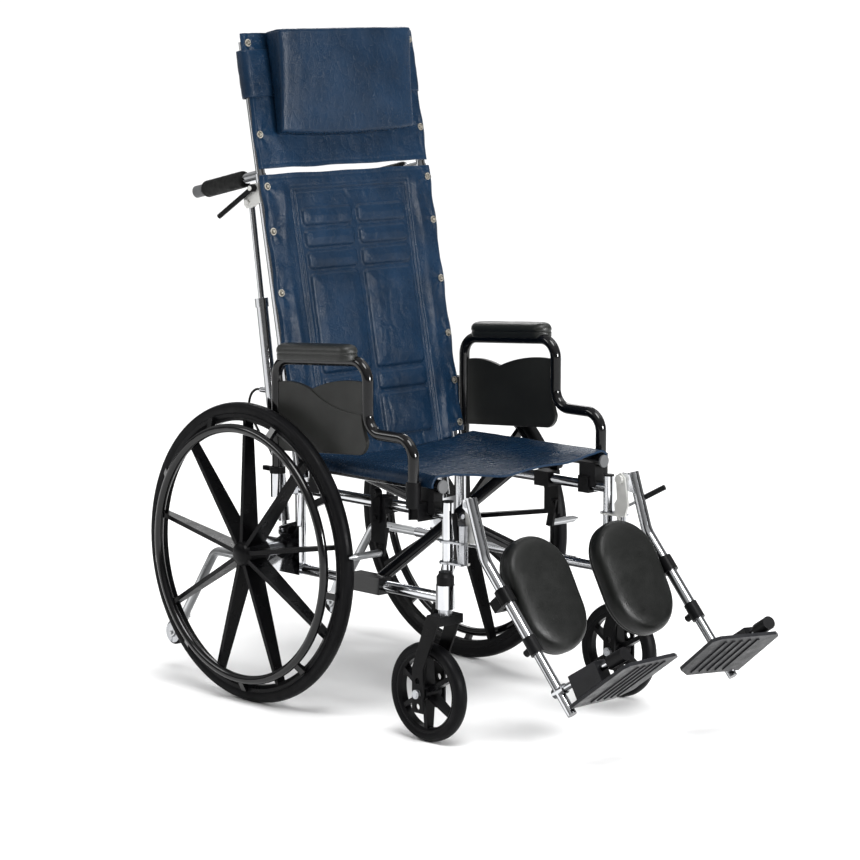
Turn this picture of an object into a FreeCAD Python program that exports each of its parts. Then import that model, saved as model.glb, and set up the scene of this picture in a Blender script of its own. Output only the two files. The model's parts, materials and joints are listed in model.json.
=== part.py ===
import FreeCAD, Part
import math
import os

# Reclining wheelchair with a folding cross frame, in millimetres.
# X points to the user's left, Y to the rear and Z up. The sizes below are measured
# from the point on the floor under the rear axle. Each piece of the left side is
# modelled once and mirrored for the right side, and at the end the whole chair is
# moved along Y so that its footprint is centred on the origin.

# Fits
RUNNING = 0.05            # radial clearance of a pin, shaft or sliding tube
CLEAR = 0.3               # gap between pieces that move past or rest on each other

# Side frame
FRAME_X = 225.0           # middle plane of a side frame
TUBE_R = 11.1
TUBE_WALL = 1.6
UPPER_Z = 437.0
LOWER_Z = 273.0
POST_FRONT_Y = -497.0
POST_REAR_Y = -72.0
POST_TOP_Z = 461.0
LOWER_REAR_Y = 60.0
PLATE = 5.0               # thickness of the steel brackets
PIN_R = 4.0               # pivot pins of the back, cylinders and legrests

# Rear wheels
WHEEL_R = 305.0
WHEEL_X = 300.0
TYRE_WIDTH = 25.0
TYRE_HEIGHT = 22.0
TYRE_SHOULDER = 9.0
RIM_WIDTH = 24.0
RIM_DEPTH = 15.0
SPOKES = 9
SPOKE_THICK = 9.0
SPOKE_DEEP_HUB = 44.0
SPOKE_DEEP_RIM = 19.0
HUB_R = 27.0
HUB_IN = 38.0             # hub reach from the wheel plane towards the frame
HUB_OUT = 22.0
AXLE_R = 8.0
HANDRIM_R = WHEEL_R - 50
HANDRIM_TUBE_R = 9.0
HANDRIM_OFFSET = 27.0     # handrim plane outboard of the wheel plane
TAB_THICK = 14.0

# Casters
CASTER_R = 97.0
CASTER_X = 268.0
STEM_Y = -534.0
TRAIL = 45.0
CASTER_TYRE_WIDTH = 28.0
CASTER_TYRE_HEIGHT = 18.0
CASTER_SPOKES = 6
CASTER_HUB_R = 15.0
CASTER_HUB_HALF = 21.0
CASTER_AXLE_R = 6.0
STEM_R = 8.0
HOUSING_R = 18.0
HOUSING_LOW = 266.0
HOUSING_HIGH = 312.0
DOME_HEIGHT = 26.0
FORK_TOP = 255.0
FORK_CROWN = 18.0
FORK_LEG_X = 26.0         # inner face of a fork leg from the caster plane
FORK_LEG_THICK = 5.0
FORK_LEG_HALF = 15.0
AXLE_HOLE_STEP = 25.0

# Cross braces, seat rails and seat
BRACE_R = 12.0
BRACE_A_Y = -290.0
BRACE_B_Y = -262.0
BEARING_FRONT_Y = -320.0
BEARING_REAR_Y = -232.0
BEARING_HALF = 17.0
RAIL_Z = 489.0
RAIL_R = 12.7
RAIL_FRONT_Y = -481.0
RAIL_REAR_Y = -104.0
RAIL_CAP = 4.0
CENTRE_BOLT_R = 5.0
SEAT_THICK = 5.0
SEAT_SAG = 16.0
SEAT_FRONT_Y = -475.0
SEAT_REAR_Y = -106.0
SADDLE_HALF = 12.0
SADDLE_FRONT = (-470.0, -426.0)
SADDLE_REAR = (-140.0, -112.0)

# Armrests
ARM_X = 262.0
ARM_R = 11.0
ARM_WALL = 1.6
ARM_REAR_Y = -45.0
ARM_BEND_Y = -312.0       # front upright below the pad
ARM_FRONT_Y = -440.0      # front leg in its socket
ARM_TOP_REAR_Z = 699.0
ARM_TOP_FRONT_Z = 718.0
ARM_STEP_Z = 578.0
ARM_REAR_LOW = 425.0
ARM_FRONT_LOW = 452.0
ARM_BEND = 38.0
SOCKET_R = 14.5
SOCKET_REAR = (421.0, 469.0)
SOCKET_FRONT = (447.0, 497.0)
COLLAR_HEIGHT = 13.0
ARM_PAD_X = 271.0
ARM_PAD_Y = -175.0
ARM_PAD_LENGTH = 218.0
ARM_PAD_HALF = 23.0
ARM_PAD_HEIGHT = 33.0
ARM_PAD_SEAT = 1.0        # underside of the pad above the tube's axis
GUARD_THICK = 7.0
GUARD_RELIEF = 3.0
GUARD_LOW_Z = 516.0

# Reclining back, given along the cane from its pivot
RECLINE_Y = -67.0
RECLINE_Z = 470.0
LEAN = 10.9               # degrees behind the upright
CANE_X = 222.0
CANE_FOOT = 14.0
HANDLE_HEIGHT = 600.0
CANE_TOP = HANDLE_HEIGHT + 2
HEAD_POST_R = 9.5
HEAD_POST_WALL = 1.5
HEAD_POST_TOP = 868.0
HANDLE_LENGTH = 205.0
HANDLE_R = 10.6
HANDLE_WALL = 1.6
HANDLE_DROP = 1.7         # degrees below square to the cane
HANDLE_CAP_R = 12.5
HANDLE_CAP_LENGTH = 28.0
GRIP_R = 17.5
GRIP_START = 48.0
GRIP_LENGTH = HANDLE_LENGTH - HANDLE_CAP_LENGTH - GRIP_START - 3
SLING_THICK = 4.0
SLING_EDGE = 14.0         # sling edge outboard of the cane's axis
BACK_SLING = (36.0, HANDLE_HEIGHT - 2)
FLAP_HALF = 195.0         # flap of the back sling that hangs down to the seat
FLAP_LOW = 8.0
HEAD_SLING = (HANDLE_HEIGHT + 10, 884.0)
BACK_SCREWS = (54.0, 143.0, 243.0, 359.0, HANDLE_HEIGHT - 117, HANDLE_HEIGHT - 26)
HEAD_SCREWS = (HANDLE_HEIGHT + 79, 864.0)
SCREW_R = 2.5
SCREW_HEAD_R = 7.5
SCREW_HEAD = 3.5
PAD_RISE = 7.0
PAD_DRAW = 8.0            # how far a stitched panel draws in towards its top
PANEL_X = (6.0, 142.0)
PANEL_ROWS = ((46.0, 135.0), (142.0, 181.0), (188.0, 393.0), (400.0, 438.0), (445.0, 482.0), (489.0, 527.0))
PILLOW_HALF = 182.0
PILLOW_LOW = 676.0
PILLOW_HIGH = 886.0
PILLOW_THIN = 28.0        # depth at the lower edge
PILLOW_DEEP = 61.0        # depth at the upper edge
PILLOW_CROWN = 5.0
PILLOW_EDGE = 14.0
BAND = (755.0, 850.0)
BAND_THICK = 2.5

# Recline cylinders
CYLINDER_Y = -25.0
CYLINDER_Z = 345.0
ROD_END_BACK = 35.0       # rod end pin behind the cane and above its pivot
ROD_END_UP = HANDLE_HEIGHT - 50
CYLINDER_R = 12.0
CYLINDER_LENGTH = 471.0
CYLINDER_GLAND_R = 14.0
CYLINDER_GLAND = 18.0
EYE_R = 11.0
EYE_HALF = 6.0
PISTON_ROD_R = 6.0
ROD_INSIDE = 80.0
CYLINDER_BORE = 240.0
CYLINDER_START = 20.0
VALVE_AT = 283.0          # valve along the cylinder from its pin
VALVE_REACH = 30.0
VALVE_R = 6.0
HOSE_R = 2.5
LEVER_BACK = 8.0          # release lever pin behind the cane
LEVER_UP = HANDLE_HEIGHT - 25
LEVER_TIP_BACK = 121.0
LEVER_TIP_UP = HANDLE_HEIGHT - 67
LEVER_R = 5.5
LEVER_BOSS = 11.0
LEVER_PIN_R = 3.0

# Anti-tippers
TIPPER_R = 9.4
TIPPER_BEND_Y = 196.0
TIPPER_END_Y = 306.0
TIPPER_END_Z = 112.0
TIPPER_BEND = 34.0
TIP_WHEEL_R = 26.0
TIP_WHEEL_HALF = 9.0
TIP_WHEEL_Y = 329.0
TIP_WHEEL_Z = 80.0
TIP_PIN_R = 4.0

# Swing-away legrests
HANGER_X = 222.0
HANGER_R = 9.5
HANGER_Y = -535.0
HANGER_LOW = 343.0
HANGER_HIGH = 420.0
HINGE_Z = (345.0, 386.0)
HINGE_RING_R = 17.0
RELEASE_X = HANGER_X + 8     # legrest release lever
RELEASE_REACH = 72.0
LEG_PIVOT_Y = -542.0
LEG_PIVOT_Z = 461.0
LEG_X = 227.0
LEG_R = 11.1
LEG_WALL = 1.55
LEG_TOP_Y = -561.0
LEG_TOP_Z = 476.0
LEG_BEND_Y = -600.0
LEG_BEND_Z = 362.0
LEG_BEND = 60.0
LEG_TILT = 41.6           # lower leg tube from the vertical, degrees
LEG_LOWER = 208.0         # lower leg tube from its bend
LEG_COLLAR_R = 13.5
LEG_COLLAR = 34.0
FOOT_R = 9.5
FOOT_WALL = 1.5
FOOT_START = 60.0         # foot tube's upper end along the lower leg
FOOT_END = 345.0
FOOT_HINGE_AT = 294.0
FOOT_TILT = 31.0          # footplate above the horizontal, degrees
FOOT_PIN_R = 7.0
FOOT_PIN_END = 150.0
BUMPER_R = 13.0
BUMPER_LENGTH = 42.0
FOOT_TURN_LEFT = 14.0     # foot turned out about its tube, degrees
FOOT_TURN_RIGHT = 0.0
FOOT_FLIP_LEFT = 12.0     # footplate raised about its pin, degrees
FOOT_FLIP_RIGHT = 0.0
PLATE_HEEL = 25.0         # footplate along its hinge pin
PLATE_LENGTH = 174.0
PLATE_IN = 132.0          # footplate reach inboard of the pin
PLATE_OUT = 16.0
PLATE_DROP = 42.0         # underside of the heel below the pin
PLATE_PITCH = 5.2         # footplate steeper than its pin, degrees
PLATE_THICK = 7.0
PLATE_CORNER = 30.0
FOOT_BLOCK_AT = 48.0
FOOT_BLOCK = 78.0
FOOT_BLOCK_HALF = 14.0
RIB_COUNT = 5
RIB_HEIGHT = 2.5
RIB_WIDTH = 5.0
CALF_X = 123.0
CALF_Y = -656.0
CALF_Z = 291.0
CALF_TILT = 29.0
CALF_LENGTH = 236.0
CALF_WIDTH = 164.0
CALF_THICK = 44.0
CALF_CLAMP_AT = 82.0
CALF_CLAMP_R = 16.0
CALF_CLAMP = 32.0
CALF_ARM_DROP = 38.0
CALF_ARM = 6.0
CALF_ARM_HALF = 12.0

# Wheel locks
LOCK_Y = -WHEEL_R - 17
LOCK_HALF = 20.0
LOCK_LOW = 362.0
LOCK_X = 240.0            # inner face of the hanging plate
LOCK_PIVOT_Z = 412.0
SHOE_PIVOT_Y = LOCK_Y - 12
SHOE_PIVOT_Z = 384.0
SHOE_Y = LOCK_Y
SHOE_Z = 341.0
SHOE_R = 7.0
SHOE_REACH = 320.0
LOCK_PIN_R = 4.0
LOCK_ARM = 6.0


def vec(x, y, z):
    return FreeCAD.Vector(x, y, z)


ORIGIN = vec(0, 0, 0)
X_AXIS = vec(1, 0, 0)
Y_AXIS = vec(0, 1, 0)
Z_AXIS = vec(0, 0, 1)


# General shapes

def rod(start, end, radius):
    """Round bar between two points."""
    run = end - start
    return Part.makeCylinder(radius, run.Length, start, run)


def sleeve(start, end, outer, inner):
    """Straight tube between two points."""
    return rod(start, end, outer).cut(rod(start, end, inner))


def block(x_span, y_span, z_span):
    """Box between two limits on each axis."""
    corner = vec(min(x_span), min(y_span), min(z_span))
    sizes = [max(span) - min(span) for span in (x_span, y_span, z_span)]
    return Part.makeBox(sizes[0], sizes[1], sizes[2], corner)


def slab(outline, x_span):
    """Flat plate from (y, z) corner points, between two limits on X."""
    points = [vec(x_span[0], y, z) for y, z in outline]
    face = Part.Face(Part.makePolygon(points + points[:1]))
    return face.extrude(vec(x_span[1] - x_span[0], 0, 0))


def spun(outline):
    """Solid of revolution about X from (x, radius) corner points."""
    points = [vec(x, 0, radius) for x, radius in outline]
    face = Part.Face(Part.makePolygon(points + points[:1]))
    return face.revolve(ORIGIN, X_AXIS, 360)


def bent_wire(points, bend):
    """Straight runs joined by tangent arcs of one radius."""
    edges = []
    start = points[0]
    for before, corner, after in zip(points, points[1:], points[2:]):
        back = (before - corner).normalize()
        ahead = (after - corner).normalize()
        half_turn = (math.pi - back.getAngle(ahead)) / 2
        inward = (back + ahead).normalize()
        centre = corner + inward * (bend / math.cos(half_turn))
        first = corner + back * (bend * math.tan(half_turn))
        last = corner + ahead * (bend * math.tan(half_turn))
        edges.append(Part.LineSegment(start, first).toShape())
        edges.append(Part.Arc(first, centre - inward * bend, last).toShape())
        start = last
    edges.append(Part.LineSegment(start, points[-1]).toShape())
    return Part.Wire(edges)


def swept(points, bend, radius):
    """Round bar along a bent wire."""
    profile = Part.Wire([Part.makeCircle(radius, points[0], points[1] - points[0])])
    return bent_wire(points, bend).makePipeShell([profile], True, False)


def bent_tube(points, bend, radius, wall):
    """Round tube along a bent wire, open at both ends."""
    return swept(points, bend, radius).cut(swept(points, bend, radius - wall))


def join(first, *others):
    """One solid from pieces that overlap."""
    return first.fuse(list(others))


def group(*solids):
    """Separate solids kept in one node."""
    return Part.makeCompound(list(solids))


def around(shape, count, offset=0.0):
    """Copies of a shape spaced evenly about X."""
    step = 360.0 / count
    return [shape.rotated(ORIGIN, X_AXIS, offset + step * index) for index in range(count)]


def closed_wire(corners, middles):
    """Closed wire of arcs, or lines where an arc has no middle point."""
    edges = []
    for index, corner in enumerate(corners):
        following = corners[(index + 1) % len(corners)]
        middle = middles[index]
        if middle is None:
            edges.append(Part.LineSegment(corner, following).toShape())
        else:
            edges.append(Part.Arc(corner, middle, following).toShape())
    return Part.Wire(edges)


def obround(half_length, radius, z):
    """Outline with round ends, the long side on Y."""
    flat = half_length - radius
    slant = radius * math.sqrt(0.5)
    corners = [vec(radius, -flat, z), vec(radius, flat, z), vec(0, flat + radius, z), vec(-radius, flat, z),
               vec(-radius, -flat, z), vec(0, -flat - radius, z)]
    middles = [None, vec(slant, flat + slant, z), vec(-slant, flat + slant, z), None,
               vec(-slant, -flat - slant, z), vec(slant, -flat - slant, z)]
    return closed_wire(corners, middles)


# Wheels, each modelled about X through the origin

def tyre(radius, height, width, shoulder):
    half = width / 2
    seat = radius - height
    side = radius - shoulder
    corners = [vec(-half, 0, seat), vec(-half, 0, side), vec(half, 0, side), vec(half, 0, seat)]
    profile = closed_wire(corners, [None, vec(0, 0, radius), None, None])
    return Part.Face(profile).revolve(ORIGIN, X_AXIS, 360)


def rim(seat, width, depth):
    half = width / 2
    edge = half * 0.6
    return spun([(-half, seat), (half, seat), (half, seat - depth / 2), (edge, seat - depth),
                 (-edge, seat - depth), (-half, seat - depth / 2)])


def spoke(inner, outer, deep_inner, deep_outer, thick):
    """Blade that tapers from the hub to the rim."""
    sections = []
    for radius, deep in ((inner, deep_inner), (outer, deep_outer)):
        corners = [vec(x * deep / 2, y * thick / 2, radius) for x,
                   y in ((-1, -1), (1, -1), (1, 1), (-1, 1))]
        sections.append(Part.makePolygon(corners + corners[:1]))
    return Part.makeLoft(sections, True, True)


def rear_wheel():
    seat = WHEEL_R - TYRE_HEIGHT
    cap = HUB_R * 0.3
    bore = AXLE_R + RUNNING
    hub = spun([(-HUB_IN, bore), (-HUB_IN, HUB_R - 5), (-HUB_IN + 8, HUB_R), (HUB_OUT - 4, HUB_R),
                (HUB_OUT + cap * 0.5, HUB_R * 0.8), (HUB_OUT + cap, HUB_R * 0.45), (HUB_OUT + cap, 0),
                (HUB_OUT, 0), (HUB_OUT, bore)])
    blade = spoke(HUB_R - 4, seat - RIM_DEPTH / 2, SPOKE_DEEP_HUB, SPOKE_DEEP_RIM, SPOKE_THICK)
    return join(rim(seat, RIM_WIDTH, RIM_DEPTH), hub, *around(blade, SPOKES))


def handrim():
    ring = Part.makeTorus(HANDRIM_R, HANDRIM_TUBE_R, vec(HANDRIM_OFFSET, 0, 0), X_AXIS)
    seat = WHEEL_R - TYRE_HEIGHT
    face = RIM_WIDTH / 2
    outline = [(face, seat - 13), (face, seat - 1), (face + 6, seat - 1),
               (HANDRIM_OFFSET + 2, HANDRIM_R + 5),
               (HANDRIM_OFFSET, HANDRIM_R - 3), (HANDRIM_OFFSET - 6, HANDRIM_R), (face + 4, seat - 17)]
    points = [vec(x, -TAB_THICK / 2, radius) for x, radius in outline]
    tab = Part.Face(Part.makePolygon(points + points[:1])).extrude(vec(0, TAB_THICK, 0))
    return join(ring, *around(tab, SPOKES, 180.0 / SPOKES))


def caster_wheel():
    seat = CASTER_R - CASTER_TYRE_HEIGHT
    width = CASTER_TYRE_WIDTH - 4
    bore = CASTER_AXLE_R + RUNNING
    hub = spun([(-CASTER_HUB_HALF, bore), (-CASTER_HUB_HALF, CASTER_HUB_R),
                (CASTER_HUB_HALF, CASTER_HUB_R), (CASTER_HUB_HALF, bore)])
    blade = spoke(CASTER_HUB_R - 3, seat - 5, 26.0, 16.0, 9.0)
    return join(rim(seat, width, 9.0), hub, *around(blade, CASTER_SPOKES))


def caster_fork():
    """Stem, crown, two legs and the axle bolt, about the stem axis on the floor."""
    stem = rod(vec(0, 0, FORK_TOP - 2), vec(0, 0, HOUSING_HIGH - 2), STEM_R)
    thrust = rod(vec(0, 0, FORK_TOP - 2), vec(0, 0, HOUSING_LOW - CLEAR), STEM_R + 5)
    outer = FORK_LEG_X + FORK_LEG_THICK
    crown = block((-outer, outer), (-17, 19), (FORK_TOP - FORK_CROWN, FORK_TOP))
    low = CASTER_R - AXLE_HOLE_STEP - 12
    knee = CASTER_R + AXLE_HOLE_STEP * 2
    outline = [(-17, FORK_TOP), (19, FORK_TOP), (TRAIL + FORK_LEG_HALF, knee), (TRAIL + FORK_LEG_HALF, low),
               (TRAIL - FORK_LEG_HALF, low), (TRAIL - FORK_LEG_HALF, knee)]
    legs = [slab(outline, (side * FORK_LEG_X, side * outer)) for side in (-1, 1)]
    fork = join(crown, stem, thrust, *legs)
    for step in (-1, 1):
        height = CASTER_R + step * AXLE_HOLE_STEP
        fork = fork.cut(rod(vec(-outer - 1, TRAIL, height), vec(outer + 1, TRAIL, height), CASTER_AXLE_R))
    bolt = rod(vec(-outer - 7, TRAIL, CASTER_R), vec(outer + 7, TRAIL, CASTER_R), CASTER_AXLE_R)
    heads = [rod(vec(side * outer, TRAIL, CASTER_R), vec(side * (outer + 6), TRAIL, CASTER_R), 9.0)
             for side in (-1, 1)]
    return join(fork, bolt, *heads)


# Side frame and what is fixed to it

def side_frame():
    upper = (vec(FRAME_X, POST_FRONT_Y, UPPER_Z), vec(FRAME_X, POST_REAR_Y, UPPER_Z))
    lower = (vec(FRAME_X, POST_FRONT_Y, LOWER_Z), vec(FRAME_X, LOWER_REAR_Y, LOWER_Z))
    front = (vec(FRAME_X, POST_FRONT_Y, LOWER_Z - TUBE_R), vec(FRAME_X, POST_FRONT_Y, POST_TOP_Z))
    rear = (vec(FRAME_X, POST_REAR_Y, LOWER_Z), vec(FRAME_X, POST_REAR_Y, UPPER_Z + TUBE_R - 3))
    runs = (upper, lower, front, rear)
    tubes = [rod(start, end, TUBE_R) for start, end in runs]
    inset = vec(0, TUBE_R, 0)
    rise = vec(0, 0, TUBE_R)
    bore_runs = ((upper[0] + inset, upper[1] - inset), (lower[0] + inset, lower[1]), front,
                 (rear[0] + rise, rear[1] - rise * 2))
    bores = [rod(start, end, TUBE_R - TUBE_WALL) for start, end in bore_runs]

    housing = rod(vec(CASTER_X, STEM_Y, HOUSING_LOW), vec(CASTER_X, STEM_Y, HOUSING_HIGH), HOUSING_R)
    arm_z = (HOUSING_LOW + HOUSING_HIGH) / 2
    housing_arm = rod(vec(FRAME_X, POST_FRONT_Y, arm_z), vec(CASTER_X, STEM_Y, arm_z), TUBE_R - 1)

    inner_face = FRAME_X + TUBE_R - 3
    axle_plate = slab([(POST_REAR_Y - TUBE_R, LOWER_Z - TUBE_R), (30, LOWER_Z - TUBE_R), (30, WHEEL_R + 8),
                       (14, WHEEL_R + 24), (-14, WHEEL_R + 24), (POST_REAR_Y + TUBE_R, WHEEL_R + 56),
                       (POST_REAR_Y - TUBE_R, WHEEL_R + 56)], (inner_face, inner_face + PLATE + 1))

    ear = CYLINDER_Z
    cylinder_ears = []
    back_ears = []
    for side in (-1, 1):
        near = side * (EYE_HALF + CLEAR)
        cylinder_ears.append(slab([(POST_REAR_Y, ear - 16), (CYLINDER_Y, ear - 12),
                                   (CYLINDER_Y + 10, ear - 7),
                                   (CYLINDER_Y + 10, ear + 7), (CYLINDER_Y, ear + 12),
                                   (POST_REAR_Y, ear + 26)],
                                  (FRAME_X + near, FRAME_X + near + side * 4)))
        near = side * (TUBE_R + CLEAR)
        back_ears.append(slab([(RECLINE_Y - 13, UPPER_Z - 12), (POST_REAR_Y + 12, UPPER_Z - 12),
                               (RECLINE_Y + 15, RECLINE_Z + 8), (RECLINE_Y + 8, RECLINE_Z + 14),
                               (RECLINE_Y - 8, RECLINE_Z + 14), (RECLINE_Y - 13, RECLINE_Z + 8)],
                              (CANE_X + near, CANE_X + near + side * PLATE)))
    cylinder_pin = rod(vec(FRAME_X - 13, CYLINDER_Y, ear), vec(FRAME_X + 13, CYLINDER_Y, ear), PIN_R)
    reach = TUBE_R + PLATE + 3
    back_pin = rod(vec(CANE_X - reach, RECLINE_Y, RECLINE_Z), vec(CANE_X + reach, RECLINE_Y, RECLINE_Z),
                   PIN_R)
    back_web = block((CANE_X - TUBE_R - 4, CANE_X + TUBE_R + 4), (RECLINE_Y - 13, POST_REAR_Y + 12),
                     (UPPER_Z - 12, UPPER_Z + 6))

    socket = rod(vec(ARM_X, ARM_REAR_Y, SOCKET_REAR[0]), vec(ARM_X, ARM_REAR_Y, SOCKET_REAR[1]), SOCKET_R)
    socket_arm = block((FRAME_X, ARM_X), (POST_REAR_Y + 2, ARM_REAR_Y - 2), (UPPER_Z - 10, UPPER_Z + 2))

    solid = join(tubes[0], *tubes[1:], housing, housing_arm, axle_plate, back_web, socket, socket_arm,
                 *cylinder_ears, *back_ears)
    stem_hole = rod(vec(CASTER_X, STEM_Y, HOUSING_LOW), vec(CASTER_X, STEM_Y, HOUSING_HIGH),
                    STEM_R + RUNNING)
    arm_hole = rod(vec(ARM_X, ARM_REAR_Y, SOCKET_REAR[0]), vec(ARM_X, ARM_REAR_Y, SOCKET_REAR[1]),
                   ARM_R + RUNNING)
    axle_hole = rod(vec(FRAME_X, 0, WHEEL_R), vec(WHEEL_X, 0, WHEEL_R), AXLE_R)
    solid = solid.cut(join(bores[0], *bores[1:]))
    solid = solid.cut(stem_hole).cut(arm_hole).cut(axle_hole)
    return join(solid, cylinder_pin, back_pin)


def rear_axle():
    """Axle bolt with its hexagon head inside the frame and a spacer outside it."""
    face = FRAME_X + TUBE_R - 3
    hub_end = WHEEL_X - HUB_IN - CLEAR
    bolt = rod(vec(face, 0, WHEEL_R), vec(WHEEL_X + HUB_OUT - 2, 0, WHEEL_R), AXLE_R)
    spacer = rod(vec(face + PLATE + 1, 0, WHEEL_R), vec(hub_end, 0, WHEEL_R), AXLE_R + 5)
    head = rod(vec(face - 8, 0, WHEEL_R), vec(face, 0, WHEEL_R), AXLE_R + 4)
    return join(bolt, spacer, head)


def front_block():
    """Moulded block clamped on the upper tube: armrest socket outboard, rail saddle above."""
    socket = rod(vec(ARM_X, ARM_FRONT_Y, SOCKET_FRONT[0]), vec(ARM_X, ARM_FRONT_Y, SOCKET_FRONT[1]),
                 SOCKET_R)
    clamp = block((FRAME_X - SADDLE_HALF - 3, ARM_X), (ARM_FRONT_Y - SOCKET_R, ARM_FRONT_Y + SOCKET_R),
                  (UPPER_Z - TUBE_R - 4, SOCKET_FRONT[0] + 9))
    solid = join(socket, clamp, saddle_body(SADDLE_FRONT))
    tube = rod(vec(FRAME_X, SADDLE_FRONT[0] - 9, UPPER_Z), vec(FRAME_X, SADDLE_FRONT[1] + 9, UPPER_Z),
               TUBE_R)
    low = SOCKET_FRONT[0] - 30
    hole = rod(vec(ARM_X, ARM_FRONT_Y, low), vec(ARM_X, ARM_FRONT_Y, SOCKET_FRONT[1]), ARM_R + RUNNING)
    return solid.cut(tube).cut(hole).cut(rail_room(SADDLE_FRONT))


def saddle_body(y_span):
    return block((FRAME_X - SADDLE_HALF, FRAME_X + SADDLE_HALF), y_span, (UPPER_Z - 2, RAIL_Z - 4))


def rail_room(y_span):
    """Open-topped trough for the seat rail, which lifts out as the frame folds."""
    radius = RAIL_R + CLEAR
    trough = rod(vec(FRAME_X, y_span[0] - 1, RAIL_Z), vec(FRAME_X, y_span[1] + 1, RAIL_Z), radius)
    return trough


def rear_saddle():
    tube = rod(vec(FRAME_X, SADDLE_REAR[0] - 1, UPPER_Z), vec(FRAME_X, SADDLE_REAR[1] + 1, UPPER_Z), TUBE_R)
    return saddle_body(SADDLE_REAR).cut(tube).cut(rail_room(SADDLE_REAR))


def dome_cap():
    """Rounded cap on the caster housing."""
    base = vec(CASTER_X, STEM_Y, HOUSING_HIGH)
    dome_r = HOUSING_R - 1
    body = rod(base, base + vec(0, 0, DOME_HEIGHT - 10), dome_r)
    top = rod(base + vec(0, 0, DOME_HEIGHT - 10), base + vec(0, 0, DOME_HEIGHT), dome_r - 4)
    return join(body, Part.makeCone(dome_r, dome_r - 7, 10, base + vec(0, 0, DOME_HEIGHT - 10), Z_AXIS),
                top)


def arm_collar():
    """Collar with a finger lever on top of the rear armrest socket."""
    base = vec(ARM_X, ARM_REAR_Y, SOCKET_REAR[1])
    ring = rod(base, base + vec(0, 0, COLLAR_HEIGHT), SOCKET_R + 1.5)
    lever = block((ARM_X + 4, ARM_X + 12), (ARM_REAR_Y + 8, ARM_REAR_Y + 32),
                  (SOCKET_REAR[1] + 4, SOCKET_REAR[1] + COLLAR_HEIGHT))
    return join(ring, lever).cut(rod(base, base + vec(0, 0, COLLAR_HEIGHT), ARM_R + CLEAR))


def lock_base():
    """Clamp and hanging plate of the wheel lock."""
    y_span = (LOCK_Y - LOCK_HALF, LOCK_Y + LOCK_HALF)
    clamp = block((FRAME_X - 15, LOCK_X + PLATE), y_span, (UPPER_Z - 16, UPPER_Z + 15))
    plate = block((LOCK_X, LOCK_X + PLATE), y_span, (LOCK_LOW, UPPER_Z))
    tube = rod(vec(FRAME_X, y_span[0] - 1, UPPER_Z), vec(FRAME_X, y_span[1] + 1, UPPER_Z), TUBE_R)
    face = LOCK_X + PLATE
    lever_pin = rod(vec(face, LOCK_Y, LOCK_PIVOT_Z), vec(face + LOCK_ARM + 4, LOCK_Y, LOCK_PIVOT_Z),
                    LOCK_PIN_R)
    shoe_pin = rod(vec(LOCK_X - LOCK_ARM - 4, SHOE_PIVOT_Y, SHOE_PIVOT_Z),
                   vec(LOCK_X, SHOE_PIVOT_Y, SHOE_PIVOT_Z),
                   LOCK_PIN_R)
    return join(join(clamp, plate).cut(tube), lever_pin, shoe_pin)


def frame_fittings():
    plug = rod(vec(FRAME_X, POST_FRONT_Y, POST_TOP_Z), vec(FRAME_X, POST_FRONT_Y, POST_TOP_Z + 3), TUBE_R)
    return group(front_block(), rear_saddle(), dome_cap(), arm_collar(), lock_base(), plug, rear_axle())


def brake_lever():
    """Short hand lever outboard of the lock plate."""
    face = LOCK_X + PLATE + CLEAR
    span = (face, face + LOCK_ARM)
    bar = slab([(LOCK_Y - 9, LOCK_PIVOT_Z - 9), (LOCK_Y + 9, LOCK_PIVOT_Z - 9), (LOCK_Y + 9, UPPER_Z + 16),
                (LOCK_Y + 2, UPPER_Z + 30), (LOCK_Y - 12, UPPER_Z + 30), (LOCK_Y - 12, UPPER_Z + 10)], span)
    knob = rod(vec(face, LOCK_Y - 4, UPPER_Z + 24), vec(face + 16, LOCK_Y - 4, UPPER_Z + 24), 9.0)
    pin = rod(vec(LOCK_X, LOCK_Y, LOCK_PIVOT_Z), vec(face + LOCK_ARM, LOCK_Y, LOCK_PIVOT_Z),
              LOCK_PIN_R + RUNNING)
    return join(bar, knob).cut(pin)


def brake_shoe():
    """Swinging arm inboard of the lock plate, with a round shoe across the tyre."""
    span = (LOCK_X - CLEAR - LOCK_ARM, LOCK_X - CLEAR)
    arm = slab([(SHOE_PIVOT_Y - 8, SHOE_PIVOT_Z + 8), (SHOE_PIVOT_Y + 8, SHOE_PIVOT_Z + 8),
                (SHOE_Y + 9, SHOE_Z - 6), (SHOE_Y - 9, SHOE_Z - 6)], span)
    bar = rod(vec(span[0], SHOE_Y, SHOE_Z), vec(SHOE_REACH - 16, SHOE_Y, SHOE_Z), SHOE_R)
    tip = Part.makeCone(SHOE_R, 2.0, 16, vec(SHOE_REACH - 16, SHOE_Y, SHOE_Z), X_AXIS)
    pin = rod(vec(span[0], SHOE_PIVOT_Y, SHOE_PIVOT_Z), vec(LOCK_X, SHOE_PIVOT_Y, SHOE_PIVOT_Z),
              LOCK_PIN_R + RUNNING)
    return join(arm, bar, tip).cut(pin)


# Folding cross frame and seat

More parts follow.
